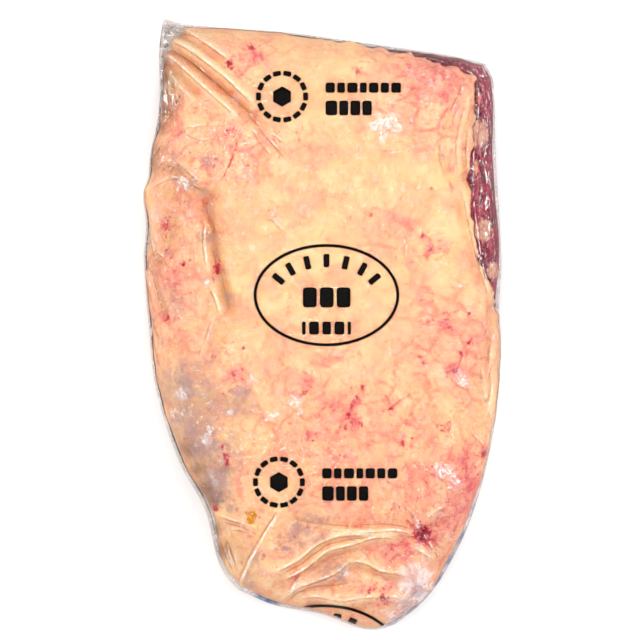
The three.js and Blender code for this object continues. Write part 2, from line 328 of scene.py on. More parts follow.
def raw_lean():
    """Raw beef: dark red myoglobin in fibres about 1.5 mm apart, with a moist, uneven sheen."""
    material, add = finish("raw beef muscle")
    place = add("TexCoord", out="Object")
    fibres = speckle(add, place, 1.5, 3, 0.6, 0.6, (1, 5, 1))
    edges = speckle(add, place, 2.6, 5, 0.7, 0.6)
    colour = coat(add, "#5c0420", "#991a3c", speckle(add, place, 8, 2, 0.55), 0.35, 0.65)
    colour = coat(add, colour, "#c85a70", fibres, 0.48, 0.75)
    colour = coat(add, colour, "#36040f", fibres, 0.5, 0.3)
    pale = coat(add, "#b87e6c", "#dfaa8e", edges, 0.35, 0.62)
    pale = coat(add, pale, "#b5606a", fibres, 0.52, 0.62, 0.5)
    colour = coat(add, colour, pale, frayed(add, *painted(add, "nodule"), edges, 1.7), 0.3, 0.66, 0.95)
    bump = add("Bump", {"Height": fibres, "Strength": 0.6, "Distance": 0.7 * MM})
    inputs = {"Base Color": colour, "Roughness": 0.45, "Specular IOR Level": 0.1, "Normal": bump}
    add("OutputMaterial", [add("BsdfPrincipled", inputs)])
    return material


lx, ly, lz = points_of(lean).T
paint(lean, "nodule", nodule_share(lx, ly) * smooth(10, 18, lz))
lean.data.materials.append(raw_lean())
in_metres(lean)
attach(lean, "root")
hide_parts("lean_meat")

# --------------------------------------------------------------------------------------------------
# Fat cap: firm, creamy fat that covers the muscle and wraps its other flanks. It is dented in lobes,
# folded where the film shrank, and marked by small vessels and spots of blood.
# --------------------------------------------------------------------------------------------------

# The cut edge along the bare muscle, up the right flank and along the thick end.
FAT_EDGE = {
    "right": [(79.2, 3), (77.8, 11), (74.8, 20), (72.9, 27), (71, 39), (69, 55), (68.8, 73.5), (70.4, 88),
        (71.4, 102), (70.5, 111.5)],
    "top": [(12, 128.4), (24, 126), (37, 123.6), (52, 119.4), (63, 116), (70.5, 111.5)],
}
EDGE_LINE = FAT_EDGE["right"] + FAT_EDGE["top"][::-1]
EDGE_STRAY, EDGE_BAND = 1.9, (12, 3)  # how far the cut edge strays, and where that fades away from it

# Folds: height, half width, profile, points along. A groove has a negative height; a crease is sharp
# at its middle, a roll is round.
FOLDS = [
    # the folds that gather in the thick end's left corner
    (-3.4, 2.6, "crease", [(-70.5, 126), (-63.5, 121.5), (-54.5, 114.5), (-43, 104.5), (-33, 95.5),
        (-28.5, 91.5)]),
    (2.6, 3, "roll", [(-68, 129), (-59.5, 124), (-51.5, 118), (-43.5, 111.5), (-35.5, 104), (-30.5, 99)]),
    (-2, 2, "roll", [(-64, 132), (-57, 127.5), (-49.5, 122.5), (-43.5, 117.5)]),
    (1.4, 2.4, "roll", [(-62.5, 134), (-55, 129), (-48, 124), (-41.5, 119)]),
    (2.6, 2.8, "roll", [(-71, 123), (-65.5, 118.5), (-59.5, 113), (-52.5, 106.5), (-44, 99), (-38, 93.5)]),
    (-2, 2, "roll", [(-70.5, 119), (-66, 114.5), (-60.5, 108.5), (-55, 103.5)]),
    (1.4, 2.2, "roll", [(-70, 115.5), (-66.5, 111), (-62.5, 105.5), (-57.5, 101)]),
    # the film's edge over the left flank, and the wrinkles beside it
    (-1.6, 2.4, "crease", [(-61.5, 105.5), (-65, 101.5), (-67.5, 96), (-71, 91.5), (-74, 88.5)]),
    (0.9, 1.4, "roll", [(-68.5, 115.5), (-69, 109), (-68, 102)]),
    (-0.9, 1.2, "roll", [(-66.5, 113), (-67, 105.5), (-69, 97.5)]),
    (0.9, 1.4, "roll", [(-71.5, 109), (-71, 102), (-72, 94.5)]),
    (0.6, 1.2, "roll", [(-64, 89), (-54, 89.5), (-49, 90)]),
    (0.6, 1.2, "roll", [(-62, 87), (-54, 83), (-49, 84)]),
    # the dent across the left flank
    (-3, 3, "crease", [(-73, 71), (-66.5, 71), (-61, 65.5), (-54.5, 60.5), (-48, 57)]),
    (1.5, 2.2, "roll", [(-70.5, 75), (-64, 72.5), (-58.5, 67.5), (-52.5, 62)]),
    (1.3, 1.8, "roll", [(-79, 61), (-73, 64), (-67, 66), (-59, 63.5), (-52.5, 59.5)]),
    (-1.8, 3.6, "roll", [(-73, 59.5), (-67.5, 59.5), (-62, 57.5)]),
    # the long valley inside the left flank
    (-3.2, 2.8, "crease", [(-53.5, 57), (-51, 49.5), (-49, 44), (-48, 39)]),
    (-2.8, 2.7, "roll", [(-50, 39.5), (-48.5, 33), (-47, 25.5), (-45, 20), (-43.5, 14), (-41, 5.5)]),
    (1.8, 2.8, "roll", [(-52, 46), (-52.5, 38), (-52, 30.5), (-50.5, 24.5)]),
    (1.4, 2.2, "roll", [(-49, 17), (-47.5, 11), (-45, 3.5)]),
    (-1.1, 3, "roll", [(-44, 3.5), (-47, -5.5), (-50.5, -14.5), (-55, -22.5)]),
    (1, 2.6, "roll", [(-48.5, 2.5), (-51.5, -7), (-55, -16)]),
    (-2.2, 5, "roll", [(-69.5, 51.5), (-68.5, 41.5), (-71, 33.5)]),
    # the tucks on the left edge
    (-2.6, 1.9, "crease", [(-78.5, 39.5), (-77, 33), (-75, 29), (-71.5, 27.5)]),
    (1.5, 1.6, "roll", [(-76, 35), (-73, 31.5), (-70, 29.5)]),
    (-2.2, 1.8, "crease", [(-79, 27.5), (-77, 23), (-75, 15.5), (-73, 8.5), (-70.5, 2)]),
    (1, 1.8, "roll", [(-79.5, 23.5), (-77.5, 15.5), (-75.5, 7)]),
    (-1.4, 1.6, "crease", [(-78, 5.5), (-76, -2.5), (-73, -8.5)]),
    # the right edge of the fat
    (0.9, 1.6, "roll", [(66.5, 102), (63.5, 91), (61.5, 79.5), (62.5, 66)]),
    (-0.9, 1.4, "roll", [(68.5, 97.5), (65.5, 86.5), (64, 75), (65.5, 63)]),
    (0.8, 1.4, "roll", [(67, 88.5), (66, 78.5), (67, 66.5)]),
    (-0.8, 1.6, "roll", [(64, 108.5), (60.5, 99), (57.5, 92.5), (55, 86), (54, 78.5), (55.5, 68.5),
        (59, 60.5)]),
    (0.5, 1.3, "roll", [(65, 105.5), (62, 96.5), (59, 89.5)]),
    (1.1, 2.2, "roll", [(63, 62), (66, 51.5), (68.5, 39), (72, 26), (76.5, 11)]),
    (-0.7, 1, "crease", [(-52.5, 54), (-50.5, 45), (-48.5, 38), (-46.5, 28), (-45, 20), (-43, 11.5),
        (-41.5, 4.5)]),
    (-0.9, 1.9, "roll", [(61, 57.5), (63.5, 46), (66.5, 32.5), (70.5, 19)]),
    (-1.1, 1.7, "roll", [(75, 11), (75.5, -1), (74, -12.5), (75, -26)]),
    (1.2, 1.8, "roll", [(78.5, -2.5), (76.5, -14.5), (77.5, -28), (76, -39.5)]),
    (0.9, 2.2, "roll", [(73, -19), (73.5, -30), (76.5, -39.5), (77.5, -45)]),
    # the folds across the narrow end, gathered at a small deep pucker
    (-1.5, 1.9, "crease", [(-12, -89), (-2, -90.5), (10.5, -91.5), (20, -91), (32, -91), (41.5, -93)]),
    (2.1, 2.2, "roll", [(3.5, -93), (13.5, -94), (22.5, -94), (33, -93.5), (42, -95)]),
    (2.3, 2, "roll", [(-21, -112.5), (-14, -109), (-8.5, -105.5), (-4, -101.5), (2, -98), (9.5, -96),
        (20, -95.5)]),
    (-1.5, 1.6, "crease", [(-18, -114), (-10, -109.5), (-3.5, -104.5), (2.5, -100.5), (11.5, -98),
        (22.5, -96.5)]),
    (2.1, 2.3, "roll", [(-17.5, -116.5), (-8.5, -112), (-2.5, -107), (4, -102.5), (12.5, -100.5),
        (23.5, -97), (32, -96.5)]),
    (-1.7, 2.2, "roll", [(-21, -119), (-12, -115.5), (-2.5, -111.5), (5.5, -106.5), (15.5, -103)]),
    (2, 2.4, "roll", [(-17, -125), (-11, -120), (-4, -117.5), (2.5, -115), (8, -112), (12.5, -108)]),
    (-1.4, 1.6, "crease", [(-16, -126.5), (-11, -122.5), (-3.5, -119.5), (5.5, -119), (13.5, -117.5)]),
    (1.6, 1.8, "roll", [(13.5, -107.5), (20, -108.5), (26.5, -112), (32.5, -113), (40, -114)]),
    (-1.2, 2, "roll", [(12.5, -111.5), (20, -112.5), (27.5, -116), (36.5, -117.5)]),
    (1.7, 2.2, "roll", [(-11, -125), (-2, -124), (9, -126), (18, -124.5), (29, -124), (37.5, -124.5)]),
    (-1.2, 1.8, "roll", [(-8, -129), (2.5, -129.5), (13, -131), (24.5, -128.5)]),
    (1.2, 1.6, "crease", [(-19, -85), (-21.5, -90.5), (-27, -98), (-32, -106.5), (-35, -113),
        (-37.5, -120)]),
    (1.3, 1.6, "roll", [(-47.5, -86.5), (-42, -88.5), (-37, -90), (-32, -92)]),
    (-1.2, 1.4, "crease", [(-46, -90), (-39, -91.5), (-32.5, -94), (-28, -97)]),
    (1.1, 1.5, "roll", [(-42.5, -93), (-35.5, -93.5), (-30, -96)]),
    (-1, 1.1, "roll", [(-45, -97), (-42.5, -103.5), (-40, -110)]),
    (1, 1.3, "roll", [(-42, -98), (-39.5, -105.5), (-37.5, -113)]),
    (-4.6, 2.6, "crease", [(44.5, -94), (46.5, -96.5)]),
    (1.1, 1.7, "roll", [(46.5, -89.5), (51.5, -85), (57.5, -82)]),
    (-1.1, 1.9, "roll", [(48, -94), (54.5, -90.5), (61, -87)]),
    (1.2, 1.8, "roll", [(41, -101), (46.5, -104), (52.5, -107.5)]),
    (-1, 1.6, "crease", [(47, -98.5), (51, -103.5), (54, -108)]),
    (1.2, 1.8, "roll", [(43.5, -110), (47.5, -116.5), (50, -122)]),
    (-1, 1.6, "roll", [(39, -113), (42, -121), (41, -128.5)]),
]
FOLD_FADE = 5.0


def within(points, x, y, reach):
    """Which places lie in a curve's box, let out by a reach."""
    low, high = np.min(points, axis=0) - reach, np.max(points, axis=0) + reach
    return np.flatnonzero((x > low[0]) & (x < high[0]) & (y > low[1]) & (y < high[1]))


def nearest_on(points, x, y):
    """For each place: its distance to a curve, the side of it, how far along, and the curve's length."""
    curve = along(points, np.linspace(0, 1, 4 * len(points)))[:, :2]
    best, side, place = np.full(len(x), 1e9), np.zeros(len(x)), np.zeros(len(x))
    travelled = 0
    for a, b in zip(curve[:-1], curve[1:]):
        d = b - a
        length = math.hypot(*d)
        share = np.clip(((x - a[0]) * d[0] + (y - a[1]) * d[1]) / length**2, 0, 1)
        off_x, off_y = x - a[0] - share * d[0], y - a[1] - share * d[1]
        distance = np.hypot(off_x, off_y)
        nearer = distance < best
        best = np.where(nearer, distance, best)
        side = np.where(nearer, np.sign(d[0] * off_y - d[1] * off_x), side)
        place = np.where(nearer, travelled + share * length, place)
        travelled += length
    return best, side, place, travelled


def fold_relief(x, y):
    height = np.zeros(len(x))
    for rise, half_width, profile, points in FOLDS:
        near = within(points, x, y, 4 * half_width)
        distance, _, place, length = nearest_on(points, x[near], y[near])
        fade = min(FOLD_FADE, length / 2 + 0.1)
        ends = smooth(-fade, fade, place) * smooth(-fade, fade, length - place)
        away = distance / half_width
        height[near] += rise * np.exp(-away**2 if profile == "roll" else -away) * ends
    return height


def cloud(x, y, size, seed, depth=2):
    """Smooth noise between about -1 and 1, with features of a size in millimetres."""
    start = Vector((seed * 7.3, seed * 3.1, seed * 5.7))
    places = np.stack([x, y, 0 * x], axis=1)
    return np.array([noise.fractal(Vector(p) / size + start, 1.0, 2.0, depth) for p in places])


def lobes(x, y):
    """The soft unevenness of fat under film, in millimetres."""
    return 1.0 * cloud(x, y, 26, 1) + 0.42 * cloud(x, y, 9, 2) + 0.16 * cloud(x, y, 3.6, 3)


def ragged_edge(x, y):
    """How far the fat's cut edge strays from its line, along the bare muscle."""
    distance = nearest_on(EDGE_LINE, x, y)[0]
    near = np.flatnonzero(distance < EDGE_BAND[0])
    stray = np.zeros(len(x))
    stray[near] = EDGE_STRAY * cloud(x[near], y[near], 6, 4, 3) * smooth(*EDGE_BAND, distance[near])
    return stray


def fat_relief(x, y, z):
    return smooth(4, 12, z) * (fold_relief(x, y) + lobes(x, y) + ragged_edge(x, y))


def fat_side(name):
    """A side of the fat: the bag's own as far as fat wraps it, then the cut edge."""
    return [point for point in SIDES[name] if point[3] >= 4] + [(x, y, 0, 0) for x, y in FAT_EDGE[name]]


def fat_shape(grow):
    return {
        "sides": {**SIDES, "right": fat_side("right"), "top": fat_side("top")},
        "edge": lambda film, wrap: film - grow,
        "rim_above": lambda wrap: mix(9, 17, smooth(0, 5, wrap)),
        "rim_below": lambda wrap: mix(1.5, 6, smooth(0, 5, wrap)),
        "level": -1 / 3,
        "top": lambda x, y: pack_top(x, y) + grow,
        "middle": lambda x, y: widest(x, y) + 1,
        "bottom": lambda x, y: 0.12 * thickness_at(y) - grow,
        "fullness": 0.85,
        "relief": fat_relief,
    }


def apply(piece, kind, **settings):
    bpy.ops.object.select_all(action="DESELECT")
    piece.select_set(True)
    bpy.context.view_layer.objects.active = piece
    modifier = piece.modifiers.new("step", kind)
    for key, value in settings.items():
        setattr(modifier, key, value)
    bpy.ops.object.modifier_apply(modifier=modifier.name)


def combine(piece, operation, *parts):
    for part in parts:
        apply(piece, "BOOLEAN", operation=operation, solver="MANIFOLD", object=part)
        bpy.data.objects.remove(part)


FAT_LEVELS = [*np.linspace(1, -1 / 3, 17)[1:], -0.5, -0.67, -0.84]
fat = bent_box("fat", (176, 300), FAT_LEVELS, fat_shape(0))
combine(fat, "DIFFERENCE", bent_box("cutter", LEAN_CELLS, LEAN_LEVELS, lean_shape(CLING)))

# Marks on the fat, each x, y, radius, strength. Clots and spots of blood:
CLOTS = [
    (-70, 33.5, 1.6, 0.6), (-68.5, 30.5, 1, 0.7), (-40.5, 115.5, 1.2, 0.8), (-43, 119, 1, 0.7),
    (-46.5, 28, 1, 0.9), (-48, 24, 1.2, 0.9), (-43, -63, 1.5, 1.1), (-45, -55.5, 0.8, 0.9),
    (-70.5, 40.5, 1.2, 0.6), (-32, 125, 1.7, 1.2), (-30.5, 123, 1, 0.7), (-42, 117.5, 1.8, 1.4),
    (-39, 113.5, 0.7, 0.8), (-42.5, 87.5, 1.2, 0.9), (-40, 85, 0.9, 0.7), (-33.5, 71.5, 0.8, 0.9),
    (16, 113.5, 1.9, 0.8), (17.5, 114.5, 1.2, 0.5), (-70.5, 44, 2.6, 0.6), (-69.5, 47.5, 1.6, 0.6),
    (-62.5, 27, 1.2, 1.3), (-70, 3, 1.5, 0.9), (-47.5, 26, 1.6, 1.3), (-47, 23.5, 1.3, 1.2),
    (-49, 20.5, 1, 0.9), (-35.5, -11, 1, 0.9), (-49, -14.5, 1.4, 0.6), (-43.5, -9, 0.6, 0.8),
    (-65.5, -16.5, 0.7, 0.8), (-60, -18.5, 0.9, 0.8), (-36, -20.5, 1, 1), (-40, -22.5, 1.8, 0.6),
    (-8, -31, 1.6, 0.8), (49, 33.5, 1.2, 1), (45.5, 40, 1.3, 0.8), (22, 49, 0.9, 0.7),
    (33, 52.5, 0.7, 0.7), (35, 42.5, 0.8, 0.6), (49.5, 61, 0.7, 0.9), (55.5, 1, 1.4, 0.9),
    (50, 1, 0.9, 0.7), (44, 0.5, 0.9, 0.7), (57, -1.5, 1.1, 0.7), (66.5, 4.5, 0.8, 1),
    (66.5, -6.5, 1.2, 0.9), (66.5, -8.5, 1.1, 0.9), (62.5, -13, 1, 0.7), (44.5, -15.5, 1, 0.8),
    (45.5, -17.5, 0.9, 0.8), (60, -21, 1.5, 0.9), (18, -28, 1.1, 0.8), (18, -29.5, 1, 0.9),
    (15.5, -33.5, 1.2, 0.9), (13.5, -37, 1.1, 0.8), (12, -41.5, 1.5, 1.15), (13, -44.5, 1.3, 0.9),
    (10.5, -47, 1.2, 0.8), (18, -45.5, 1.2, 0.9), (31, -38.5, 1.3, 0.9), (32, -36.5, 0.9, 0.6),
    (38, -44.5, 1.3, 0.7), (57, -47.5, 1.3, 0.9), (36.5, -54, 1.4, 0.8), (40.5, -51.5, 0.7, 0.7),
    (21, -54.5, 1.2, 0.4), (35, -83, 1.2, 0.7), (33, -81, 0.7, 0.6), (70.5, -68.5, 0.9, 0.8),
    (64.5, -68.5, 0.7, 0.7), (54.5, -78.5, 0.8, 0.6), (-6.5, -91.5, 0.9, 0.8), (-13, -96.5, 1.1, 0.5),
    (-26.5, -105.5, 0.9, 0.8), (17.5, -92, 1.1, 0.7), (21.5, -121.5, 1.2, 0.8), (28, -124.5, 1.8, 1.2),
    (28, -120, 1, 0.8), (-62, -52, 0.9, 0.9), (-43.5, -60, 1.5, 1.3), (-48.5, -84, 1.5, 1.3),
    (-4.5, -53, 1.1, 1), (-5.5, -49, 1.1, 0.6), (-14, -45.5, 1, 0.6), (-44.5, -31.5, 0.7, 0.7),
    (4, -58, 1, 0.4), (45.5, -95.5, 3.6, 2), (46.5, -94.5, 2, 0.8), (43, -94.5, 1.8, 0.7),
    (73.5, -59, 1.6, 1.2), (-52.5, 54.5, 1.3, 0.7), (-40.5, -78.5, 0.8, 0.5), (74, -54, 1.2, 0.5),
    (10, -57.5, 1.3, 0.3), (-63.5, 35, 1, 0.5), (-72, 50, 0.8, 0.7), (-67, 50.5, 0.6, 0.7),
    (-7, 48, 1.2, 0.3),
]
# Small vessels: half width, strength, points along.
VESSELS = [
    (0.45, 0.9, [(51.5, -46.5), (54, -48), (57.5, -47.5), (58, -44.5), (56, -43.5)]),
    (0.45, 0.8, [(31.5, -37), (30, -35), (29.5, -33)]),
    (0.45, 0.8, [(30, -39), (32.5, -36.5), (36, -34), (39.5, -31.5)]),
    (0.45, 0.8, [(19, -27.5), (17, -30), (14.5, -33.5), (13, -37.5)]),
    (0.45, 0.8, [(58.5, -21), (61, -20.5), (62, -18), (63, -14)]),
    (0.45, 0.7, [(44, -13.5), (45, -16), (46.5, -18.5)]),
    (0.45, 0.8, [(37, -50.5), (36, -54), (38.5, -57)]),
    (0.45, 0.8, [(66.5, -3.5), (66.5, -7.5), (68, -9.5)]),
    (0.55, 0.8, [(-38.5, 81.5), (-40, 76), (-43, 69), (-45.5, 64.5)]),
    (0.5, 0.4, [(-33.5, 71.5), (-30, 71), (-25.5, 70.5)]),
    (0.6, 0.7, [(-49, 32.5), (-48, 28), (-47, 22.5)]), (0.5, 0.6, [(-52.5, 18), (-56, 16), (-59.5, 14)]),
    (0.5, 0.7, [(-62.5, 27), (-61, 28), (-59, 29)]), (0.6, 0.5, [(-66, 25.5), (-68.5, 19), (-71.5, 13.5)]),
    (0.6, 0.5, [(-66.5, 21.5), (-66, 16.5), (-67.5, 10)]),
    (0.45, 0.6, [(48.5, 33.5), (45, 30), (42, 24.5)]), (0.45, 0.5, [(22.5, 50.5), (21, 46), (19.5, 41.5)]),
    (0.45, 0.45, [(33.5, 54), (30.5, 50.5), (28.5, 48.5)]),
    (0.45, 0.5, [(61.5, 19), (61.5, 13), (56.5, 11.5)]), (0.5, 0.7, [(57.5, 64), (59, 60.5)]),
    (0.6, 0.5, [(55.5, 1), (50, 1), (44, 0)]),
    (1, 0.55, [(19, -28), (16, -33), (13, -38), (12, -43.5), (10, -48)]),
    (0.8, 0.5, [(-4, -21), (-7, -25.5), (-10.5, -30)]), (0.6, 0.5, [(31.5, -37), (35, -34.5), (40, -32.5)]),
    (0.55, 0.6, [(51.5, -45.5), (54.5, -46), (57.5, -48), (56, -51)]),
    (0.5, 0.45, [(34, -49.5), (36.5, -54), (36, -58)]), (0.5, 0.4, [(33.5, -55), (36.5, -54), (40, -55.5)]),
    (0.8, 0.45, [(5.5, -59), (10, -57.5), (15.5, -57)]),
    (0.6, 0.6, [(12.5, -92.5), (16.5, -92), (21, -92.5)]),
    (0.5, 0.8, [(-46, -74.5), (-45.5, -78.5), (-45, -81.5)]),
    (0.6, 0.9, [(-45, -58.5), (-45, -55.5), (-44, -54), (-42.5, -55), (-43.5, -58)]),
    (0.5, 0.5, [(22.5, -121), (28, -120), (33.5, -121)]),
    (0.6, 0.5, [(45.5, -96), (41, -101), (37, -103.5)]), (0.7, 0.5, [(45.5, -96), (51, -94), (55.5, -91)]),
    (0.5, 0.5, [(45.5, -96), (44.5, -90.5), (43, -87)]),
    (0.5, 0.35, [(50, -75), (52.5, -73.5), (55.5, -76), (54, -80)]),
    (0.5, 0.35, [(43.5, -69), (49, -70.5), (52.5, -68)]), (0.5, 0.4, [(59.5, -89), (62.5, -85), (65, -79)]),
    (0.5, 0.35, [(67, -56), (64, -60.5), (67, -66)]), (0.45, 0.35, [(15, 35), (20.5, 38), (26, 35)]),
    (0.45, 0.3, [(-27, 56), (-24.5, 51.5), (-20.5, 49.5)]),
    (0.45, 0.3, [(-65, 88.5), (-60.5, 85.5), (-57, 88.5)]),
    (0.7, 0.45, [(64, 108.5), (60.5, 99), (57.5, 92.5), (55, 86), (54, 78.5), (55.5, 68.5), (59, 60.5)]),
    (0.8, 0.8, [(45.5, -96), (50, -98), (53.5, -101.5)]), (0.8, 0.8, [(45.5, -96), (41.5, -93), (39, -89)]),
    (0.7, 0.7, [(45.5, -96), (49, -91), (53.5, -87)]), (0.7, 0.7, [(45.5, -96), (40, -96.5), (34.5, -96)]),
    (0.5, 0.5, [(6.5, -39.5), (2.5, -37), (-2, -39)]), (0.5, 0.5, [(13.5, -36), (10.5, -33.5), (7, -35)]),
    (0.5, 0.5, [(12.5, -42.5), (17, -39.5), (20, -36)]),
    (0.5, 0.5, [(-39, -21.5), (-34.5, -19), (-31.5, -21.5)]),
    (0.5, 0.5, [(-42.5, -30.5), (-38, -34.5), (-32.5, -33.5)]),
    (0.5, 0.5, [(55, 1), (58.5, 5.5), (63, 3.5)]), (0.5, 0.5, [(48.5, 33.5), (53, 36), (57, 33.5)]),
    (0.5, 0.45, [(61.5, -66), (65, -69.5), (69.5, -68)]),
    (0.5, 0.45, [(59, -80), (63.5, -82.5), (67, -79)]), (0.5, 0.45, [(39, -66), (42.5, -69.5), (48, -68)]),
]
# Blushes of blood:
BLUSHES = [
    (-30.5, 121.5, 5, 0.75), (-27, 118, 4, 0.35), (-39, 117.5, 6, 0.6), (-35.5, 113.5, 6, 0.5),
    (-41.5, 86.5, 5, 0.6), (-39.5, 80.5, 7, 0.55), (-35.5, 78.5, 8, 0.3), (-51, 73, 6, 0.5),
    (-7, 81.5, 4.5, 0.4), (-65, 86.5, 4, 0.5), (-67.5, 78.5, 8, 0.35), (-31.5, 66.5, 8, 0.25),
    (-70.5, 45, 5, 0.75), (-69.5, 38, 5, 0.4), (-70.5, 32.5, 4, 0.5), (-67.5, 20.5, 7, 0.65),
    (-66.5, 12.5, 6, 0.55), (-70, 3.5, 4, 0.6), (-48, 25.5, 3.5, 0.6), (-52.5, 55, 5, 0.7),
    (-22, 50.5, 5, 0.45), (-49.5, 66, 6, 0.35), (-10, -21.5, 5, 0.3), (-42.5, -14.5, 8, 0.35),
    (-39, -23.5, 6, 0.7), (-38, -31.5, 7, 0.5), (-44.5, -33.5, 5, 0.35), (-7, -25.5, 4.5, 0.75),
    (-12, -32.5, 5, 0.5), (48.5, 33.5, 6, 0.7), (53, 36, 5, 0.5), (44, 39, 6, 0.4), (23.5, 48, 8, 0.3),
    (31.5, 46, 9, 0.3), (39.5, 28, 6, 0.35), (46.5, 15.5, 4, 0.4), (48.5, 11, 4, 0.4), (56, 0, 6, 0.7),
    (48, 0.5, 7, 0.4), (66, 2.5, 5, 0.5), (66.5, -7, 4, 0.7), (62, -13.5, 5, 0.5), (45, -16.5, 4, 0.45),
    (43.5, -7, 8, 0.3), (60.5, -21.5, 6, 0.6), (14.5, -35, 6, 0.7), (12, -43.5, 6, 0.75),
    (2, -37.5, 7, 0.6), (7, -36.5, 5, 0.4), (31.5, -38, 5, 0.5), (39, -45, 5, 0.5), (37, -33.5, 6, 0.3),
    (56.5, -48.5, 4, 0.45), (36.5, -54, 5, 0.5), (21, -55, 6, 0.4), (10.5, -58, 6, 0.45),
    (6, -51.5, 8, 0.3), (-5, -50.5, 4, 0.6), (42.5, -68.5, 8, 0.6), (51.5, -66, 6, 0.5),
    (65, -62.5, 8, 0.75), (68, -73.5, 9, 0.85), (61.5, -70.5, 6, 0.5), (60.5, -85, 10, 0.8),
    (53.5, -90, 8, 0.8), (50, -97, 6, 0.8), (35.5, -101, 9, 0.85), (30, -105.5, 7, 0.6),
    (37.5, -107, 6, 0.6), (24.5, -100.5, 7, 0.4), (44.5, -52.5, 14, 0.25), (11, -66, 22, 0.35),
    (3.5, -75, 16, 0.35), (25.5, -80, 18, 0.3), (-10, -57, 12, 0.25), (41.5, 116.5, 8, 0.45),
    (49.5, 112, 9, 0.6), (58.5, 109, 8, 0.7), (55, 103, 6, 0.6), (47.5, 92, 7, 0.3), (60, 96.5, 4, 0.5),
    (56.5, 88.5, 4, 0.5), (63, 78.5, 4, 0.4), (64, 66.5, 4, 0.4), (44, 116.5, 6, 0.5), (39, 113, 6, 0.45),
    (56, 113, 5, 0.55), (62, 103.5, 5, 0.5), (58.5, 70.5, 4, 0.5), (57.5, 76.5, 4, 0.35),
    (23, -122, 6, 0.6), (29, -124, 6, 0.7), (32, -119, 6, 0.4), (17.5, -92.5, 5, 0.5), (40, -122, 6, 0.3),
    (50, -125.5, 6, 0.5), (-10, 11, 9, 0.18), (10.5, -2.5, 10, 0.2), (-19, -7, 12, 0.15),
    (-55, 78.5, 10, 0.25), (-64, 53.5, 10, 0.3), (73.5, -57, 4, 0.6),
]
# Broad rosy stretches:
ROSY = [
    (-43.5, 83, 34, 0.65), (-68.5, 11, 24, 0.6), (-59.5, 51.5, 16, 0.7), (10.5, -39, 46, 0.55),
    (60, -11.5, 30, 0.65), (58, -80, 30, 0.9), (3.5, -107, 34, 0.6), (44.5, -121, 22, 0.9),
    (-55, -34.5, 30, 0.5), (46.5, 105.5, 26, 0.9), (-37, -70.5, 28, 0.4), (33, 44.5, 18, 0.5),
    (-32.5, 119, 12, 0.6), (-10, -21.5, 20, 0.3),
]
# Grey hollows: painted shade in dents and folds, and painted grey haze where the film stands off:
HOLLOW_SHADES = [
    (-43.5, -66, 4.5, 0.9), (-75.5, 78.5, 4.5, 0.6), (-76.5, 71, 4, 0.35), (-49.5, 39.5, 2.4, 0.5),
    (-47.5, 30.5, 2.4, 0.5), (-51, 73, 4.5, 0.7), (-62, 63, 4.5, 0.7), (-66, 66.5, 4, 0.5),
    (-70, 32.5, 3.5, 0.7), (-61.5, 56, 5, 0.4), (-66, 12.5, 3.5, 0.45), (-63.5, -25.5, 5, 0.8),
    (-63, -32.5, 5, 0.8), (-65, -42.5, 6, 0.55), (-53.5, -53, 6.5, 0.9), (-58, -48, 5, 0.5),
    (-49, -66, 4.5, 0.8), (-48, -72.5, 5, 0.95), (-49.5, -79, 4.5, 1), (-43, -61.5, 3, 0.7),
    (-41.5, -83.5, 4, 0.8), (-39, -34.5, 5.5, 0.5), (-52.5, 18.5, 2.5, 0.5), (-47.5, 25.5, 2.5, 0.5),
    (-69.5, 44, 3, 0.35), (-10, -94.5, 8, 0.75), (0, -89, 8, 0.4), (-17.5, -100.5, 6, 0.6),
    (8, -110, 7, 0.6), (2, -113.5, 6, 0.45), (22.5, -105.5, 6, 0.4), (34.5, -83.5, 5, 0.4),
    (26, -66, 10, 0.2), (21.5, -37.5, 5, 0.3), (26, -38.5, 3.5, 0.3), (-61.5, -28, 6, 0.7),
    (-64, -38, 6, 0.6), (-52.5, -55, 8, 0.8), (-48, -68, 6, 0.8), (-47, -78, 5, 0.9), (-37, -30.5, 6, 0.6),
    (-39, -39, 6, 0.5), (-67.5, 77.5, 5, 0.5), (-61.5, 66.5, 5, 0.5), (-73, 78.5, 6, 0.3),
    (-74, 84, 5, 0.3), (-33, -120, 3, 0.6), (-70.5, 98.5, 7, 0.3), (36, 91, 3, 0.2), (59.5, -23.5, 4, 0.4),
    (-27.5, -103.5, 2.5, 0.6), (54.5, 75, 3, 0.6), (55, 68.5, 2.5, 0.6), (49, -80, 6, 0.25),
    (42, -125.5, 9, 0.5), (35.5, -133, 7, 0.5), (48, -119, 6, 0.5), (74, -58, 2.5, 0.7),
]
# Broad stretches where the fat is thin and duller, and painted shade along the left flank's valley and dent:
DULL_AND_SHADE = [
    (-63, -30.5, 15, 1.1), (-59, -45.5, 15, 1.1), (-52.5, -57, 14, 1), (-49, -71.5, 12, 1),
    (-38, -34.5, 13, 0.8), (-54, -32.5, 12, 0.95), (-57, -32, 12, 0.5), (-43.5, -56, 12, 0.8),
    (-59.5, -16, 9, 0.3), (-42.5, -68, 9, 0.7), (-70.5, -7, 8, 0.25), (-49.5, 40.5, 5, 0.5),
    (-48, 31.5, 5, 0.6), (-45, 21.5, 5, 0.6), (-42.5, 12.5, 6, 0.6), (-44, -1, 9, 0.5),
    (-48.5, -11, 8, 0.4), (-71, 74, 10, 0.35), (-65, 68, 5, 0.8), (-59.5, 63.5, 5, 0.8), (-54, 59, 4, 0.7),
    (-50.5, 53, 4, 0.7), (-68.5, 41.5, 7, 0.5), (-67.5, 11, 9, 0.6), (-4.5, -95.5, 14, 0.6),
    (3.5, -113, 14, 0.55), (-32.5, -107, 12, 0.55), (-43.5, -93.5, 8, 0.5), (12.5, -105.5, 10, 0.4),
    (-35.5, -119, 8, 0.5), (-57, -80, 9, 0.6),
]
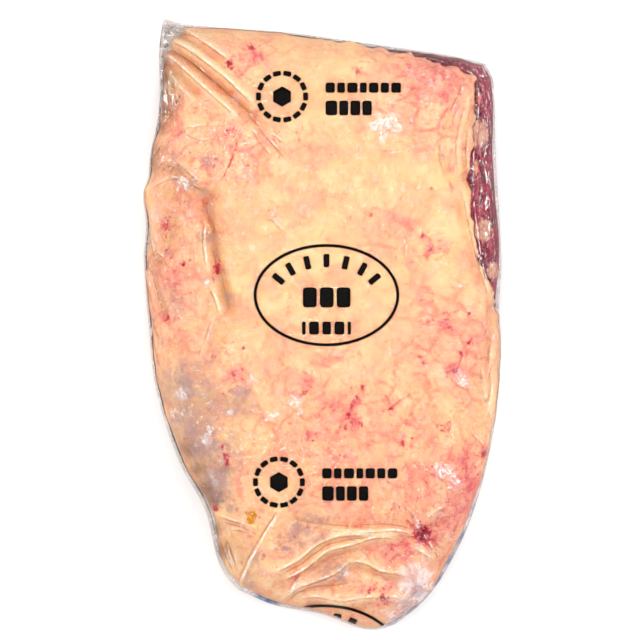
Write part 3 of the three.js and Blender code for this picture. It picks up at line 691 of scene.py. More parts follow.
# Deeper, warmer fat in the lower left, and painted shade on the upper left flank and in the folds' beds:
SHADES = [
    (-70, 104.5, 6, 0.6), (-71, 96.5, 6, 0.6), (-69.5, 112, 5, 0.5), (-42, -100.5, 6, 0.6),
    (-38, -108, 5, 0.5), (-48, 41.5, 5, 0.5), (-46, 11, 4, 0.35), (-59, -65, 6, 0.45),
    (-63.5, -56, 5, 0.4), (-53, -32, 6, 0.35), (-56, -38, 6, 0.35), (-55, -21.5, 6, 0.35),
    (-66, -11.5, 6, 0.25), (55.5, -107, 6, 0.3),
]
# One spot of yellow:
STAINS = [
    (-32, -87, 2.4, 1), (-33.5, -85.5, 1.6, 0.9), (-32, -89.5, 1.6, 0.9), (-32.5, -96, 1.5, 0.4),
]


def dabs(x, y, marks):
    total = np.zeros(len(x))
    for cx, cy, radius, strength in marks:
        near = np.flatnonzero((np.abs(x - cx) < 3 * radius) & (np.abs(y - cy) < 3 * radius))
        distance = np.hypot(x[near] - cx, y[near] - cy) / radius
        total[near] = np.maximum(total[near], strength * np.exp(-(distance**2)))
    return total


def strokes(x, y, lines):
    total = np.zeros(len(x))
    for half_width, strength, points in lines:
        near = within(points, x, y, 5 * half_width)
        distance = nearest_on(points, x[near], y[near])[0]
        total[near] = np.maximum(total[near], strength * np.exp(-((distance / half_width) ** 2)))
    return total


LINE_REACH = 4.0  # how far from a line its signed offset is still stored, in millimetres


def paint_lines(piece, name, x, y, lines, shown):
    """Stores the signed offset from the nearest line and that line's strength, for thin crisp lines."""
    best, offset, strength = np.full(len(x), 1e9), np.full(len(x), LINE_REACH), np.zeros(len(x))
    for weight, points in lines:
        near = within(points, x, y, LINE_REACH)
        distance, side, place, length = nearest_on(points, x[near], y[near])
        fade = min(4, length / 3)
        tapered = weight * smooth(0, fade, place) * smooth(0, fade, length - place)
        nearer = distance < best[near]
        best[near] = np.where(nearer, distance, best[near])
        offset[near] = np.where(nearer, distance * side, offset[near])
        strength[near] = np.where(nearer, tapered, strength[near])
    paint(piece, name + "_offset", 0.5 + np.clip(offset, -LINE_REACH, LINE_REACH) / (2 * LINE_REACH))
    paint(piece, name + "_strength", strength * smooth(2.2, 1.2, best) * shown)


def line_share(add, name, half_width, wobble):
    """How much of a stored line shows: thinner where it is weak, and strayed by a noise, both in mm."""
    offset, strength = painted(add, name + "_offset", name + "_strength")
    offset = add("Math", (about_zero(add, offset, 2 * LINE_REACH), wobble), operation="ADD")
    offset = add("Math", [offset], operation="ABSOLUTE")
    width = add("Math", (strength, half_width), operation="MULTIPLY")
    core = add("Math", (width, 0.4), operation="MULTIPLY")
    across = add("MapRange", (offset, width, core), **EASED)
    return add("Math", (across, add("MapRange", (strength, 0.05, 0.4), **EASED)), operation="MULTIPLY")


fx, fy, fz = points_of(fat).T
on_top = smooth(6, 14, fz)
folds_here = fold_relief(fx, fy)
# painted shade: a thin dark line along each sharp groove, stronger where the groove is deeper
crease_shade_lines = [(min(1, 0.3 - rise / 3), points)
           for rise, _, profile, points in FOLDS if profile == "crease" and rise < 0]
for name, marks in (("clot", CLOTS), ("blush", BLUSHES), ("hollow_shade", HOLLOW_SHADES), ("stain", STAINS)):
    paint(fat, name, dabs(fx, fy, marks) * on_top)
paint(fat, "vessel", strokes(fx, fy, VESSELS) * on_top)
paint(fat, "rosy", dabs(fx, fy, ROSY))
paint(fat, "dull_and_shade", dabs(fx, fy, DULL_AND_SHADE))
paint_lines(fat, "crease", fx, fy, crease_shade_lines, on_top)
# painted highlight: paler fat along the tops of the folds
paint(fat, "ridge_highlight", np.clip(folds_here / 2.2, 0, 1))
# painted shade in the beds of the folds, with the SHADES marks
paint(fat, "bed", np.maximum(np.clip(-folds_here / 2.6, 0, 1), dabs(fx, fy, SHADES)))


def hairs(add, value, wide, fine, most=1.0):
    """Thin lines where a noise crosses its middle, from nothing at one distance to most at a finer one."""
    off = add("Math", [about_zero(add, value, 1.0)], operation="ABSOLUTE")
    return add("MapRange", (off, wide, fine, 0.0, most), **EASED)


def raw_fat():
    """Raw beef fat: waxy, cream to peach, in soft lobes, with fine pink capillaries where blood stayed."""
    material, add = finish("raw beef fat")
    place = add("TexCoord", out="Object")
    rosy, blush, vessel, dull_and_shade = painted(add, "rosy", "blush", "vessel", "dull_and_shade")
    bed, ridge_highlight, hollow_shade, clot, stain = painted(add, "bed", "ridge_highlight", "hollow_shade", "clot", "stain")
    lobe = speckle(add, place, 12, 3, 0.5, 0.5)
    flake = speckle(add, place, 2.6, 4, 0.62, 0.8)
    pores = speckle(add, place, 0.75, 2, 0.6)
    ragged = speckle(add, place, 4.5, 6, 0.72, 0.6)
    grain = speckle(add, place, 1.3, 3, 0.7)

    # waxy cream, rosier in some lobes and along the seams between them
    colour = coat(add, "#f8cb8c", "#f7c188", speckle(add, place, 34, 2, 0.5), 0.35, 0.65)
    colour = coat(add, colour, "#f3a383", lobe, 0.48, 0.64, 0.55)
    colour = wash(add, colour, "#f1a288", rosy, 0.9)
    colour = coat(add, colour, "#fddba2", lobe, 0.5, 0.3, 0.55)
    seams = add("MapRange", (lobules(add, place, 11, 9), 0.13, 0.0), **EASED)
    patchy = add("MapRange", (speckle(add, place, 13, 2, 0.6), 0.42, 0.6, 0.2, 1.0), **EASED)
    seams = add("Math", (seams, patchy), operation="MULTIPLY")
    colour = wash(add, colour, "#ea8068", seams, add("MapRange", (rosy, 0.0, 0.6, 0.3, 0.95), **EASED))
    colour = coat(add, colour, "#e9987b", flake, 0.53, 0.68, 0.28)
    colour = coat(add, colour, "#ffe4b6", flake, 0.47, 0.32, 0.35)
    colour = coat(add, colour, "#d9966a", pores, 0.5, 0.3, 0.25)

    # blushes, capillaries and vessels
    spread = frayed(add, blush, ragged, 2.4)
    colour = coat(add, colour, "#f08a78", spread, 0.1, 0.7, 0.65)
    colour = coat(add, colour, "#e04e5a", spread, 0.5, 1.05, 0.8)
    hairlines = add("MapRange", (lobules(add, place, 4.2, 4.5), 0.06, 0.012), **EASED)
    patchy = add("MapRange", (ragged, 0.42, 0.58), **EASED)
    hairlines = add("Math", (hairlines, patchy), operation="MULTIPLY")
    veined = add("Math", (blush, add("Math", (rosy, 0.42), operation="MULTIPLY")), operation="MAXIMUM")
    veined = add("MapRange", (veined, 0.02, 0.5, 0.12, 0.95), **EASED)
    colour = wash(add, colour, "#dc4653", hairlines, veined)
    colour = coat(add, colour, "#d02c40", frayed(add, vessel, ragged, 1.5), 0.3, 0.75, 0.85)

    # the folds: painted shade in their beds and along the creases, and painted highlights on their ridges
    colour = wash(add, colour, "#cc8450", bed, 0.65)
    colour = wash(add, colour, "#ffe4b2", ridge_highlight, 0.8)
    # painted shade: a thin dark line along each crease
    crease = line_share(add, "crease", 0.4, about_zero(add, ragged, 2.0))
    colour = add("Mix", {0: crease, 6: colour, 7: "#c17c4c"}, 2, data_type="RGBA")

    # thin, dull fat in two tones, painted shade in the left flank's valley and dent, and grey hollows
    uneven = frayed(add, about_zero(add, lobe, 1.0), ragged, 1.4)
    dull_and_shade = add("Math", (dull_and_shade, uneven), operation="ADD")
    dull_and_shade_tone = coat(add, "#cc9f7a", "#b89083", speckle(add, place, 7, 3, 0.6, 0.5), 0.44, 0.6)
    colour = coat(add, colour, dull_and_shade_tone, dull_and_shade, 0.15, 1.0, 0.85)
    # painted shade and painted film haze: grey-pink in the hollows
    colour = coat(add, colour, "#af8881", frayed(add, hollow_shade, ragged, 2.4), 0.3, 0.85, 0.68)

    # clots, pinpoints of blood, and the yellow spot
    clot = frayed(add, clot, grain, 3.0)
    colour = coat(add, colour, "#cb1f3d", clot, 0.42, 0.62, 0.95)
    colour = coat(add, colour, "#640828", clot, 0.85, 1.2, 0.95)
    bloody = add("Math", (blush, add("Math", (rosy, 0.2), operation="MULTIPLY")), operation="MAXIMUM")
    bloody = add("Math", (bloody, 0.55), operation="MULTIPLY")
    dotted = add("Math", (bloody, add("Math", (vessel, 0.6), operation="MULTIPLY")), operation="ADD")
    clustered = add("Math", (dotted, add("MapRange", (ragged, 0.46, 0.6), **EASED)), operation="MULTIPLY")
    coarse = pinpoints(add, place, 2.6, add("Math", (dotted, 0.3), operation="MULTIPLY"), 0.22)
    dots = add("Math", (pinpoints(add, place, 1.3, clustered), coarse), operation="MAXIMUM")
    colour = wash(add, colour, "#cc1c32", dots, 0.9)
    amber = add("Mix", {0: hairs(add, grain, 0.05, 0.01), 6: "#ee9d0a", 7: "#8c4a0a"}, 2, data_type="RGBA")
    colour = coat(add, colour, amber, frayed(add, stain, flake, 1.2), 0.28, 0.5)

    flakes = add("Math", (flake, 0.5), operation="MULTIPLY")
    height = add("Math", (flakes, add("Math", (pores, 0.16), operation="MULTIPLY")), operation="ADD")
    bump = add("Bump", {"Height": height, "Strength": 0.7, "Distance": 0.9 * MM})
    inputs = {"Base Color": colour, "Roughness": 0.5, "Specular IOR Level": 0.2, "Normal": bump}
    add("OutputMaterial", [add("BsdfPrincipled", inputs)])
    return material


fat.data.materials.clear()
fat.data.materials.append(raw_fat())
in_metres(fat)
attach(fat, "root")
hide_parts("fat_cap")

# --------------------------------------------------------------------------------------------------
# Vacuum bag: clear shrink film, drawn tight over the meat, standing off in fine wrinkles, and pressed
# together in a narrow skirt all round, with one loose corner.
# --------------------------------------------------------------------------------------------------

EAR = (-72.6, HALF_LENGTH)  # the loose corner
SKIRT_HALF, EAR_HALF, EAR_SPAN = 0.7, 2.4, (4, 26)  # half the skirt's thickness, and what the ear adds

# Fine wrinkles: height, half width, points along.
WRINKLES = [
    (0.55, 0.5, [(-33, 95.5), (-28, 89.5), (-23, 83), (-15, 74)]),
    (0.45, 0.5, [(-31.5, 89), (-27, 82), (-21.5, 74.5)]),
    (0.45, 0.5, [(-25.5, 88.5), (-20.5, 84.5), (-14, 80)]),
    (0.5, 0.45, [(-29.5, 92), (-25.5, 86), (-19, 78.5)]),
    (0.4, 0.5, [(-49, 118.5), (-43.5, 112), (-38, 106.5)]),
    (0.4, 0.45, [(-59.5, 120), (-53.5, 114.5), (-47, 108.5)]),
    (0.5, 0.6, [(-62, 105), (-66.5, 96.5), (-73.5, 89)]),
    (0.45, 0.5, [(-27, 48.5), (-20.5, 46), (-16, 39.5)]),
    (0.5, 0.5, [(-51, 18.5), (-48, 12.5), (-42.5, 5.5)]), (0.5, 0.5, [(65, 109), (61, 99.5), (58, 94)]),
    (0.4, 0.45, [(55, 83), (54, 75.5), (56, 68.5)]), (0.4, 0.5, [(50, -62.5), (54.5, -69.5), (63, -78.5)]),
    (0.4, 0.5, [(51.5, -66), (57, -72.5), (61.5, -77)]),
    (0.45, 0.5, [(58.5, -23.5), (63, -28), (68.5, -30)]),
    (0.4, 0.5, [(38, -82), (41.5, -86), (45.5, -93.5)]),
    (0.5, 0.6, [(41.5, -90), (44.5, -93.5), (48, -98), (52.5, -105.5)]),
    (0.4, 0.5, [(66.5, -47), (70.5, -51.5), (75, -56)]),
    (0.4, 0.5, [(74, -32.5), (77, -39), (77.5, -44.5)]),
    (0.8, 0.6, [(-18.5, -84.5), (-27, -98), (-34.5, -113), (-37.5, -120)]),
    (0.5, 0.5, [(-8, -114), (-12, -118.5), (-14.5, -123)]),
    (0.5, 0.5, [(12.5, -111), (10, -115.5), (7.5, -119)]), (0.5, 0.5, [(41, -105.5), (49, -121.5)]),
    (0.5, 0.5, [(49, -121.5), (40, -133)]), (0.5, 0.5, [(37.5, -107), (43.5, -115.5), (48, -122)]),
    (0.45, 0.5, [(-72, 124), (-70, 113.5), (-71.5, 102), (-73.5, 91)]),
    (0.45, 0.5, [(-69.5, 121), (-68, 110), (-70, 99), (-72, 90)]),
    (0.5, 0.4, [(-68, 116.5), (-66.5, 106.5), (-68, 97.5)]),
    (0.5, 0.4, [(-73, 115.5), (-72, 104.5), (-74, 94)]),
    (0.5, 0.4, [(-71.5, 119), (-67.5, 113), (-69.5, 105.5)]),
    (0.5, 0.4, [(-69.5, 136.5), (-68, 132), (-64.5, 129.5)]),
    (0.5, 0.4, [(-72, 134.5), (-70.5, 129), (-68, 126.5)]),
    (0.5, 0.4, [(-72.5, 128.5), (-71.5, 124), (-72, 118.5)]),
    (0.5, 0.4, [(-68.5, 137.5), (-62.5, 134), (-55, 133.5)]),
    (0.5, 0.4, [(-71.5, 137.5), (-72.5, 131), (-73, 123)]),
    (0.4, 0.4, [(-66, 134.5), (-63.5, 132.5), (-58.5, 132)]),
    (0.5, 0.4, [(-77, 67.5), (-73, 73), (-70, 77.5)]),
    (0.5, 0.4, [(-74.5, 67), (-70.5, 72), (-66.5, 75.5)]),
    (0.4, 0.4, [(-71, 66.5), (-67.5, 71), (-63.5, 73.5)]), (0.4, 0.4, [(-78, 74), (-75, 78.5), (-73, 82)]),
    (0.5, 0.4, [(-77.5, 30.5), (-78, 20), (-76, 9)]),
    (0.4, 0.4, [(-76.5, -2.5), (-74.5, -11.5), (-72, -21.5)]),
    (0.4, 0.4, [(-45.5, -98), (-42.5, -106.5), (-39, -113.5)]),
    (0.4, 0.4, [(-43.5, -96), (-40, -103.5), (-37.5, -110)]),
    (0.5, 0.4, [(35, -104), (40.5, -110), (42, -117.5)]),
    (0.5, 0.4, [(42, -117.5), (48, -120), (52, -116.5)]),
    (0.5, 0.4, [(42, -117.5), (37.5, -125), (33.5, -131)]),
    (0.5, 0.4, [(48, -125.5), (41, -131), (33.5, -136)]),
    (0.4, 0.4, [(43.5, -128.5), (37.5, -134), (31, -137.5)]),
]


def film_relief(x, y, z):
    height = np.zeros(len(x))
    for rise, half_width, points in WRINKLES:
        near = within(points, x, y, 5 * half_width)
        distance, _, place, length = nearest_on(points, x[near], y[near])
        ends = smooth(-3, 3, place) * smooth(-3, 3, length - place)
        height[near] += rise * np.exp(-((distance / (half_width + 0.5)) ** 2)) * ends
    return fat_relief(x, y, z) + smooth(4, 12, z) * height


def skirt_half(x, y):
    return SKIRT_HALF + EAR_HALF * (1 - smooth(*EAR_SPAN, np.hypot(x - EAR[0], y - EAR[1])))


SKIRT_SHAPE = {
    "sides": SIDES,
    "edge": lambda film, wrap: 0 * film,
    "rim_above": lambda wrap: 2 + 0 * wrap,
    "rim_below": lambda wrap: 2 + 0 * wrap,
    "level": 0,
    "top": lambda x, y: widest(x, y) + skirt_half(x, y),
    "middle": widest,
    "bottom": lambda x, y: widest(x, y) - skirt_half(x, y),
    "fullness": 1,
    "relief": lambda x, y, z: 0 * x,
}
film = bent_box("film", (150, 256), FAT_LEVELS, {**fat_shape(CLING), "relief": film_relief})
combine(film, "UNION", bent_box("lean_skin", LEAN_CELLS, LEAN_LEVELS, lean_shape(CLING)),
        bent_box("skirt", (60, 110), [0.5, 0.0, -0.5], SKIRT_SHAPE))

# The film bridges the notch between the fat's edge and the bare muscle, so it is slackened there.
NOTCH_REACH, NOTCH_FLOOR = 6, 14
gx, gy, gz = points_of(film).T
notch = film.vertex_groups.new(name="notch")
for index, distance in enumerate(nearest_on(EDGE_LINE, gx, gy)[0]):
    if distance < NOTCH_REACH and gz[index] > NOTCH_FLOOR:
        notch.add([index], float(1 - distance / NOTCH_REACH), "REPLACE")
apply(film, "SMOOTH", factor=0.5, iterations=14, vertex_group="notch")
film.vertex_groups.clear()

# Marks on the film, each x, y, radius, strength. Painted highlights on creased patches:
CREASE_GLINTS = [
    (27.5, 90, 4.5, 1), (32.5, 93, 3.5, 1), (33.5, 88, 3.5, 0.9), (23.5, 89, 3.2, 0.9), (28, 85, 3.5, 0.9),
    (-63, -31, 2.6, 0.85), (-42, -39.5, 2.2, 1), (-31.5, -25.5, 2.8, 1), (-23.5, -42, 2.6, 1),
    (-21, -40, 2.2, 1), (-12.5, -35, 3.6, 1), (-9.5, -40, 2.4, 0.8), (-31.5, -39.5, 1.8, 0.7),
    (-51.5, -48.5, 2.4, 0.8), (-46, -47.5, 2.2, 0.8), (-15, -61, 1.8, 0.8), (-16, -56, 1.8, 0.6),
    (-65, -41.5, 4.5, 0.6), (-53.5, -53, 4.5, 0.5), (-31.5, 34.5, 1.8, 0.8), (-62.5, 64.5, 3, 0.9),
    (-61.5, 62, 2.2, 0.9), (55.5, -67, 5.5, 0.8), (60, -70.5, 4.5, 0.9), (52, -64, 3.5, 0.7),
    (63.5, -25.5, 3.5, 0.9), (61.5, -22.5, 2.8, 0.7), (67, -29, 2.6, 0.7), (41.5, -85, 2.4, 0.5),
    (43.5, -89, 2, 0.5), (45.5, -102.5, 2.4, 0.55), (49, -105.5, 3.4, 0.6), (46.5, -113, 3.6, 0.55),
    (48, -120, 3.6, 0.5), (43.5, -125.5, 5, 0.7), (38.5, -131, 5, 0.7), (34.5, -122, 4, 0.4),
    (-38, 101, 3.5, 0.5), (-40.5, 93, 5, 0.5), (-37, 86.5, 4.5, 0.4), (-49.5, 88.5, 4, 0.4),
    (-56, 86.5, 4, 0.35), (-63, 70.5, 4, 0.3), (-66, 73, 3.5, 0.35), (-52, 18.5, 2.6, 0.7),
    (-10, -117.5, 2.5, 0.5), (12, -114.5, 2.4, 0.6), (37.5, -107, 3.5, 0.4), (-68, 126.5, 2.4, 0.5),
    (37.5, 61.5, 2.4, 0.5), (37.5, 47, 2, 0.5), (30.5, -10.5, 2.4, 0.5), (59, -98, 2.4, 0.5),
    (-48, 124.5, 5, 0.3),
]
# Painted sheen of slack film that stands off in grey and lilac facets:
FACET_SHEEN = [
    (43.5, -121.5, 6, 1.1), (39, -128.5, 6, 1.1), (34.5, -134, 5, 1), (40.5, -113, 5, 0.9),
    (38, -120, 4, 0.7), (-75.5, 49, 5, 0.4), (-76, 38, 5, 0.4), (43, -116.5, 4.5, 0.7),
    (39.5, -131, 5, 0.8), (34.5, -136, 4, 0.7), (45, -127, 4, 0.8), (46.5, -107, 4, 0.5),
    (46.5, -114, 4.5, 0.7), (49, -121, 4, 0.75), (43, -125.5, 5, 0.75), (37.5, -131, 4.5, 0.75),
    (32, -135, 4, 0.6), (41, -119, 4.5, 0.4), (44.5, -100.5, 3, 0.4), (-63.5, -31.5, 3.6, 0.55),
    (-53.5, -52.5, 5, 0.45), (-48, -70.5, 4, 0.35), (55.5, -67, 5, 0.35), (-68, 121, 3, 0.3),
    (-66, 129, 3, 0.4), (-38, 101, 4, 0.25), (-62.5, 64.5, 3, 0.4), (63.5, -25.5, 3, 0.4),
    (28, 89.5, 8, 0.3), (11, -113.5, 3, 0.4), (-10, -121, 3, 0.3),
]
# Painted shade on flanks where the film is pleated, dimming what lies under it:
PLEAT_SHADES = [
    (-75.5, 78.5, 4, 0.35), (-77, 71, 3.5, 0.3), (-43.5, -65, 3, 0.3), (40.5, -130.5, 5, 0.3),
    (-70, 134.5, 4, 0.5), (-72, 129, 4, 0.45), (-65, 133, 4, 0.4), (-72.5, 122, 3, 0.5),
    (-71.5, 118.5, 4, 0.6), (-71.5, 111, 4.5, 0.7), (-71.5, 103.5, 4.5, 0.75), (-72, 96.5, 4.5, 0.7),
    (-74, 90, 4, 0.6), (-67.5, 101, 3, 0.5), (-68.5, 108.5, 3, 0.5), (-77.5, 74, 3, 0.6),
    (-60.5, -57, 4, 0.5), (-56, -66, 4, 0.6), (-52.5, -74.5, 4, 0.6), (-49, -80, 4, 0.5),
    (-45.5, -103.5, 4, 0.5), (-48, -93.5, 3, 0.5), (-53, 39.5, 3, 0.3),
]
# Film drawn tight on a slant, where its glints are short dashes that all lie one way:
DRAWN = [
    (-57, 85, 13, 0.5), (-34.5, 74, 15, 0.5), (-16.5, 53.5, 15, 0.45), (-49.5, 40, 11, 0.45),
    (-37, 92, 10, 0.3), (3.5, 65, 14, 0.3), (-67.5, 56, 8, 0.4), (44, 96.5, 16, 0.3), (35, 65, 12, 0.25),
    (-64, 11, 12, 0.3), (51, 11, 14, 0.25), (-23.5, -107, 12, 0.3),
]
# Blue shade in the film's edge at the narrow end:
BLUE = [
    (40, -131, 5, 0.5), (45, -126.5, 4, 0.5), (34, -136, 4, 0.5), (-28, -125, 2.2, 0.9),
    (-24.5, -126.5, 2.2, 1), (-21.5, -127.5, 1.6, 0.8), (69, -85, 3, 0.4), (64, -98, 4, 0.6),
    (59, -108, 4, 0.6), (53.5, -117.5, 4, 0.7), (49, -124, 3, 0.5),
]
# Gathering points, with reach and strength: the finest wrinkles run along the pull toward them.
GATHERS = [
    (-74, 136.5, 52, 0.75), (46.5, -96, 42, 0.5), (-48.5, 56, 26, 0.35), (67.5, 114.5, 50, 0.5),
    (-39, -125.5, 40, 0.6), (-80, 28, 16, 0.8), (80, 11, 34, 0.5), (47, -125.5, 40, 0.6),
]
PULL_UNIT = 80.0  # the distance from a gathering point is stored as a share of this

gx, gy, gz = points_of(film).T
upper = smooth(6, 12, gz)
# painted highlights along the crests of folds and wrinkles, the fat's cut edge and the skirt's seam
crest_highlights = [(min(0.8, 0.3 + rise / 4), points) for rise, _, _, points in FOLDS if rise > 0]
crest_highlights += [(min(1, 0.1 + 1.3 * rise), points) for rise, _, points in WRINKLES] + [(0.7, EDGE_LINE)]
for side in SIDES.values():
    seam = []
    for x, y, loose, _ in side:
        ix, iy = inward(x, y)
        seam.append((x + 0.4 * loose * ix, y + 0.4 * loose * iy))
    crest_highlights.append((0.6, seam))
paint_lines(film, "crest", gx + 0.3, gy - 0.4, crest_highlights, upper)
paint(film, "pleat_shade", dabs(gx, gy, PLEAT_SHADES))
paint(film, "crease_glint", dabs(gx, gy, CREASE_GLINTS) * upper)
paint(film, "facet_sheen", dabs(gx, gy, FACET_SHEEN))
paint(film, "drawn", dabs(gx, gy, DRAWN) * upper)
edge_gap, edge_side, _, _ = nearest_on(EDGE_LINE, gx, gy)
paint(film, "bare", np.where(edge_side < 0, smooth(1.0, 3.5, edge_gap), 0) * smooth(4, 9, gz))
near_ear = smooth(26, 8, np.hypot(gx - EAR[0], gy - EAR[1]))
flank = smooth(0.62, 0.25, gz / thickness_at(gy))
paint(film, "crumple", np.clip(0.2 + near_ear + 0.5 * smooth(9, 2, edge_gap) + 0.7 * flank, 0, 1))
pull, pull_angle, pull_reach = np.zeros(len(gx)), np.zeros(len(gx)), np.zeros(len(gx))
for cx, cy, reach, strength in GATHERS:
    away = np.hypot(gx - cx, gy - cy)
    share = strength * smooth(reach, 0.25 * reach, away)
    pull_angle = np.where(share > pull, np.arctan2(gy - cy, gx - cx) / (2 * math.pi) + 0.5, pull_angle)
    pull_reach = np.where(share > pull, away / PULL_UNIT, pull_reach)
    pull = np.maximum(pull, share)
paint(film, "pull", pull)
paint(film, "pull_angle", pull_angle)
paint(film, "pull_reach", pull_reach)
rim = SIDES["left"] + SIDES["top"][1:] + SIDES["right"][::-1][1:] + SIDES["bottom"][::-1][1:]
to_rim, _, rim_place, rim_length = nearest_on([point[:2] for point in rim], gx, gy)
to_meat = to_rim - along(rim, rim_place / rim_length)[:, 2]
paint(film, "skirt", smooth(1.4, 0.1, to_meat) * smooth(4.5, 2.5, np.abs(gz - widest(gx, gy))))
paint(film, "tint", dabs(gx, gy, BLUE) * (gz < widest(gx, gy) + 1.5))


def clear_film():
    """Clear multilayer shrink film, about 0.06 mm thick: glassy, finely wrinkled, greyer where it is
    seen edge on, with painted highlights on its creases and painted sheen where it stands off the meat."""
    material, add = finish("clear shrink film")
    place = add("TexCoord", out="Object")
    crumple, bare, pull, angle, reach = painted(add, "crumple", "bare", "pull", "pull_angle", "pull_reach")
    skirt, pleat_shade, tint, crease_glint, facet_sheen, drawn = painted(add, "skirt", "pleat_shade", "tint", "crease_glint", "facet_sheen", "drawn")
    creases = speckle(add, place, 4.0, 4, 0.62, 1.4)
    crackle = speckle(add, place, 2.4, 3, 0.7, 1.5)

    # relief: dimples, strands that run to the gathering points, and crumpled ridges
    around = add("Math", (angle, 240.0), operation="MULTIPLY")
    outward = add("Math", (reach, 6.0), operation="MULTIPLY")
    strands = add("TexNoise", {"Vector": add("CombineXYZ", (around, outward)), "Scale": 1.0, "Detail": 3.0})
    strand = add("Math", (strands, pull), operation="MULTIPLY")
    dimples = add("Math", (speckle(add, place, 1.0, 2, 0.6, 0.4), 0.3), operation="MULTIPLY")
    height = add("Math", (dimples, add("Math", (strand, 1.3), operation="MULTIPLY")), operation="ADD")
    loose = add("Math", (crumple, add("Math", (bare, 0.9), operation="MULTIPLY")), operation="ADD")
    wrinkled = add("Math", (hairs(add, creases, 0.07, 0.0), loose), operation="MULTIPLY")
    height = add("Math", (height, add("Math", (wrinkled, 1.2), operation="MULTIPLY")), operation="ADD")
    bump = add("Bump", {"Height": height, "Strength": 1.0, "Distance": 0.8 * MM})

    # what shows through it: clear, greyer edge on, with painted shade at wrinkles, crests and pleats; blue at
    # the tip
    grazing = add("LayerWeight", {"Blend": 0.5}, "Facing")
    tilt = add("LayerWeight", {"Blend": 0.5, "Normal": bump}, "Facing")
    edge_on = add("MapRange", (grazing, 0.8, 1.0, 0, 0.7))
    clear = wash(add, "#ffffff", "#989394", edge_on, add("MapRange", (bare, 0, 1, 1, 0.25), **EASED))
    # painted shade: brown where the bumped film tilts away, along its wrinkles
    lines = add("MapRange", (tilt, 0.08, 0.6))
    wrinkle_shade_strength = add("Math", (add("Math", (pull, 0.08), operation="MULTIPLY"), 0.12), operation="ADD")
    clear = wash(add, clear, "#93614a", lines, wrinkle_shade_strength)
    sheer = add("MapRange", (tilt, 0.1, 0.7))
    sheer = add("Mix", {0: sheer, 6: "#ffffff", 7: "#e6e3e1"}, 2, data_type="RGBA")
    # painted shadow: a thin brown line beside each bright crest
    beside = add("Math", (about_zero(add, crackle, 1.4), 1.0), operation="ADD")
    shade = line_share(add, "crest", 0.6, beside)
    clear = wash(add, clear, "#bd8262", shade, 0.45)
    clear = add("Mix", {0: skirt, 6: clear, 7: sheer}, 2, data_type="RGBA")
    # painted shade: brown-grey in the pleats, in strands
    clear = wash(add, clear, "#92807a", pleat_shade, add("MapRange", (strands, 0.35, 0.6, 0.4, 1.0), **EASED))
    # painted shadow: grey lines beside the crests on the skirt
    clear = wash(add, clear, "#77706e", shade, skirt)
    clear = wash(add, clear, "#5f88bd", tint, add("MapRange", (strands, 0.4, 0.6, 0.6, 1.0), **EASED))
    through = add("BsdfTransparent", [clear])
    gloss = add("BsdfGlossy", {"Color": (1, 1, 1, 1), "Roughness": 0.1, "Normal": bump})
    glass = add("MixShader", (add("MapRange", (grazing, 0.1, 0.5, 0.11, 0.02)), through, gloss))

    # painted highlights on creased patches, and painted sheen of slack film in facets
    sparkles = speckle(add, place, 1.2, 3, 0.75, 0.6)
    sparkles = add("MapRange", (sparkles, 0.52, 0.58, 0, 0.95), **EASED)
    veil = add("Math", (sparkles, hairs(add, crackle, 0.04, 0.01, 0.7)), operation="MAXIMUM")
    highlight_share = add("MapRange", (frayed(add, crease_glint, creases, 2.2), 0.35, 0.8), **EASED)
    highlight_share = add("Math", (highlight_share, veil), operation="MULTIPLY")
    adrift = strayed(add, place, 1.5, 3.0)
    facet = add("TexVoronoi", {"Vector": adrift, "Scale": 1 / (MM * 4.5)}, "Color")
    facet = add("Math", (add("SeparateColor", [facet]), 0.55), operation="MULTIPLY")
    facet = add("Math", (facet, 0.15), operation="ADD")
    slack = add("MapRange", (frayed(add, facet_sheen, creases, 1.0), 0.1, 0.7), **EASED)
    sheen = add("Math", (slack, facet), operation="MULTIPLY")

    # glints: hairs, round points, and dashes that lie on a slant
    scattered = add("MapRange", (speckle(add, place, 5, 2, 0.5), 0.5, 0.62, 0, 0.6), **EASED)
    hair_glints = add("Math", (hairs(add, creases, 0.012, 0.004), scattered), operation="MULTIPLY")
    often = add("MapRange", (creases, 0.45, 0.6, 0.02, 0.4), **EASED)
    often = add("Math", (often, add("Math", (pull, 0.35), operation="MULTIPLY")), operation="ADD")
    slant = {"Vector": adrift, "Rotation": (0, 0, math.radians(-48)), "Scale": (3.4, 1, 1)}
    drawn = (drawn, add("MapRange", (creases, 0.38, 0.56, 0.5, 1.1), **EASED))
    drawn = add("Math", drawn, operation="MULTIPLY")
    slanted = pinpoints(add, add("Mapping", slant, vector_type="TEXTURE"), 1.2, drawn, 0.31)
    slanted = add("Math", (slanted, 0.7), operation="MULTIPLY")
    glints = add("Math", (pinpoints(add, adrift, 1.8, often, 0.2), slanted), operation="MAXIMUM")
    glints = add("Math", (glints, 0.95), operation="MULTIPLY")
    dashes = add("Math", (hair_glints, glints), operation="MAXIMUM")
    along_pull = add("MapRange", (pull, 0.15, 0.8, 0, 0.32), **EASED)
    pulled_glints = add("MapRange", (strands, 0.58, 0.61), **EASED)
    pulled_glints = add("Math", (pulled_glints, along_pull), operation="MULTIPLY")

    # painted highlights along the crests of folds and wrinkles, and highlight streaks over the bare muscle
    broken = add("MapRange", (speckle(add, place, 4, 4, 0.7), 0.46, 0.56), **EASED)
    whole = add("MapRange", (*painted(add, "crest_strength"), 0.85, 0.95), **EASED)
    broken = add("Math", (broken, whole), operation="MAXIMUM")
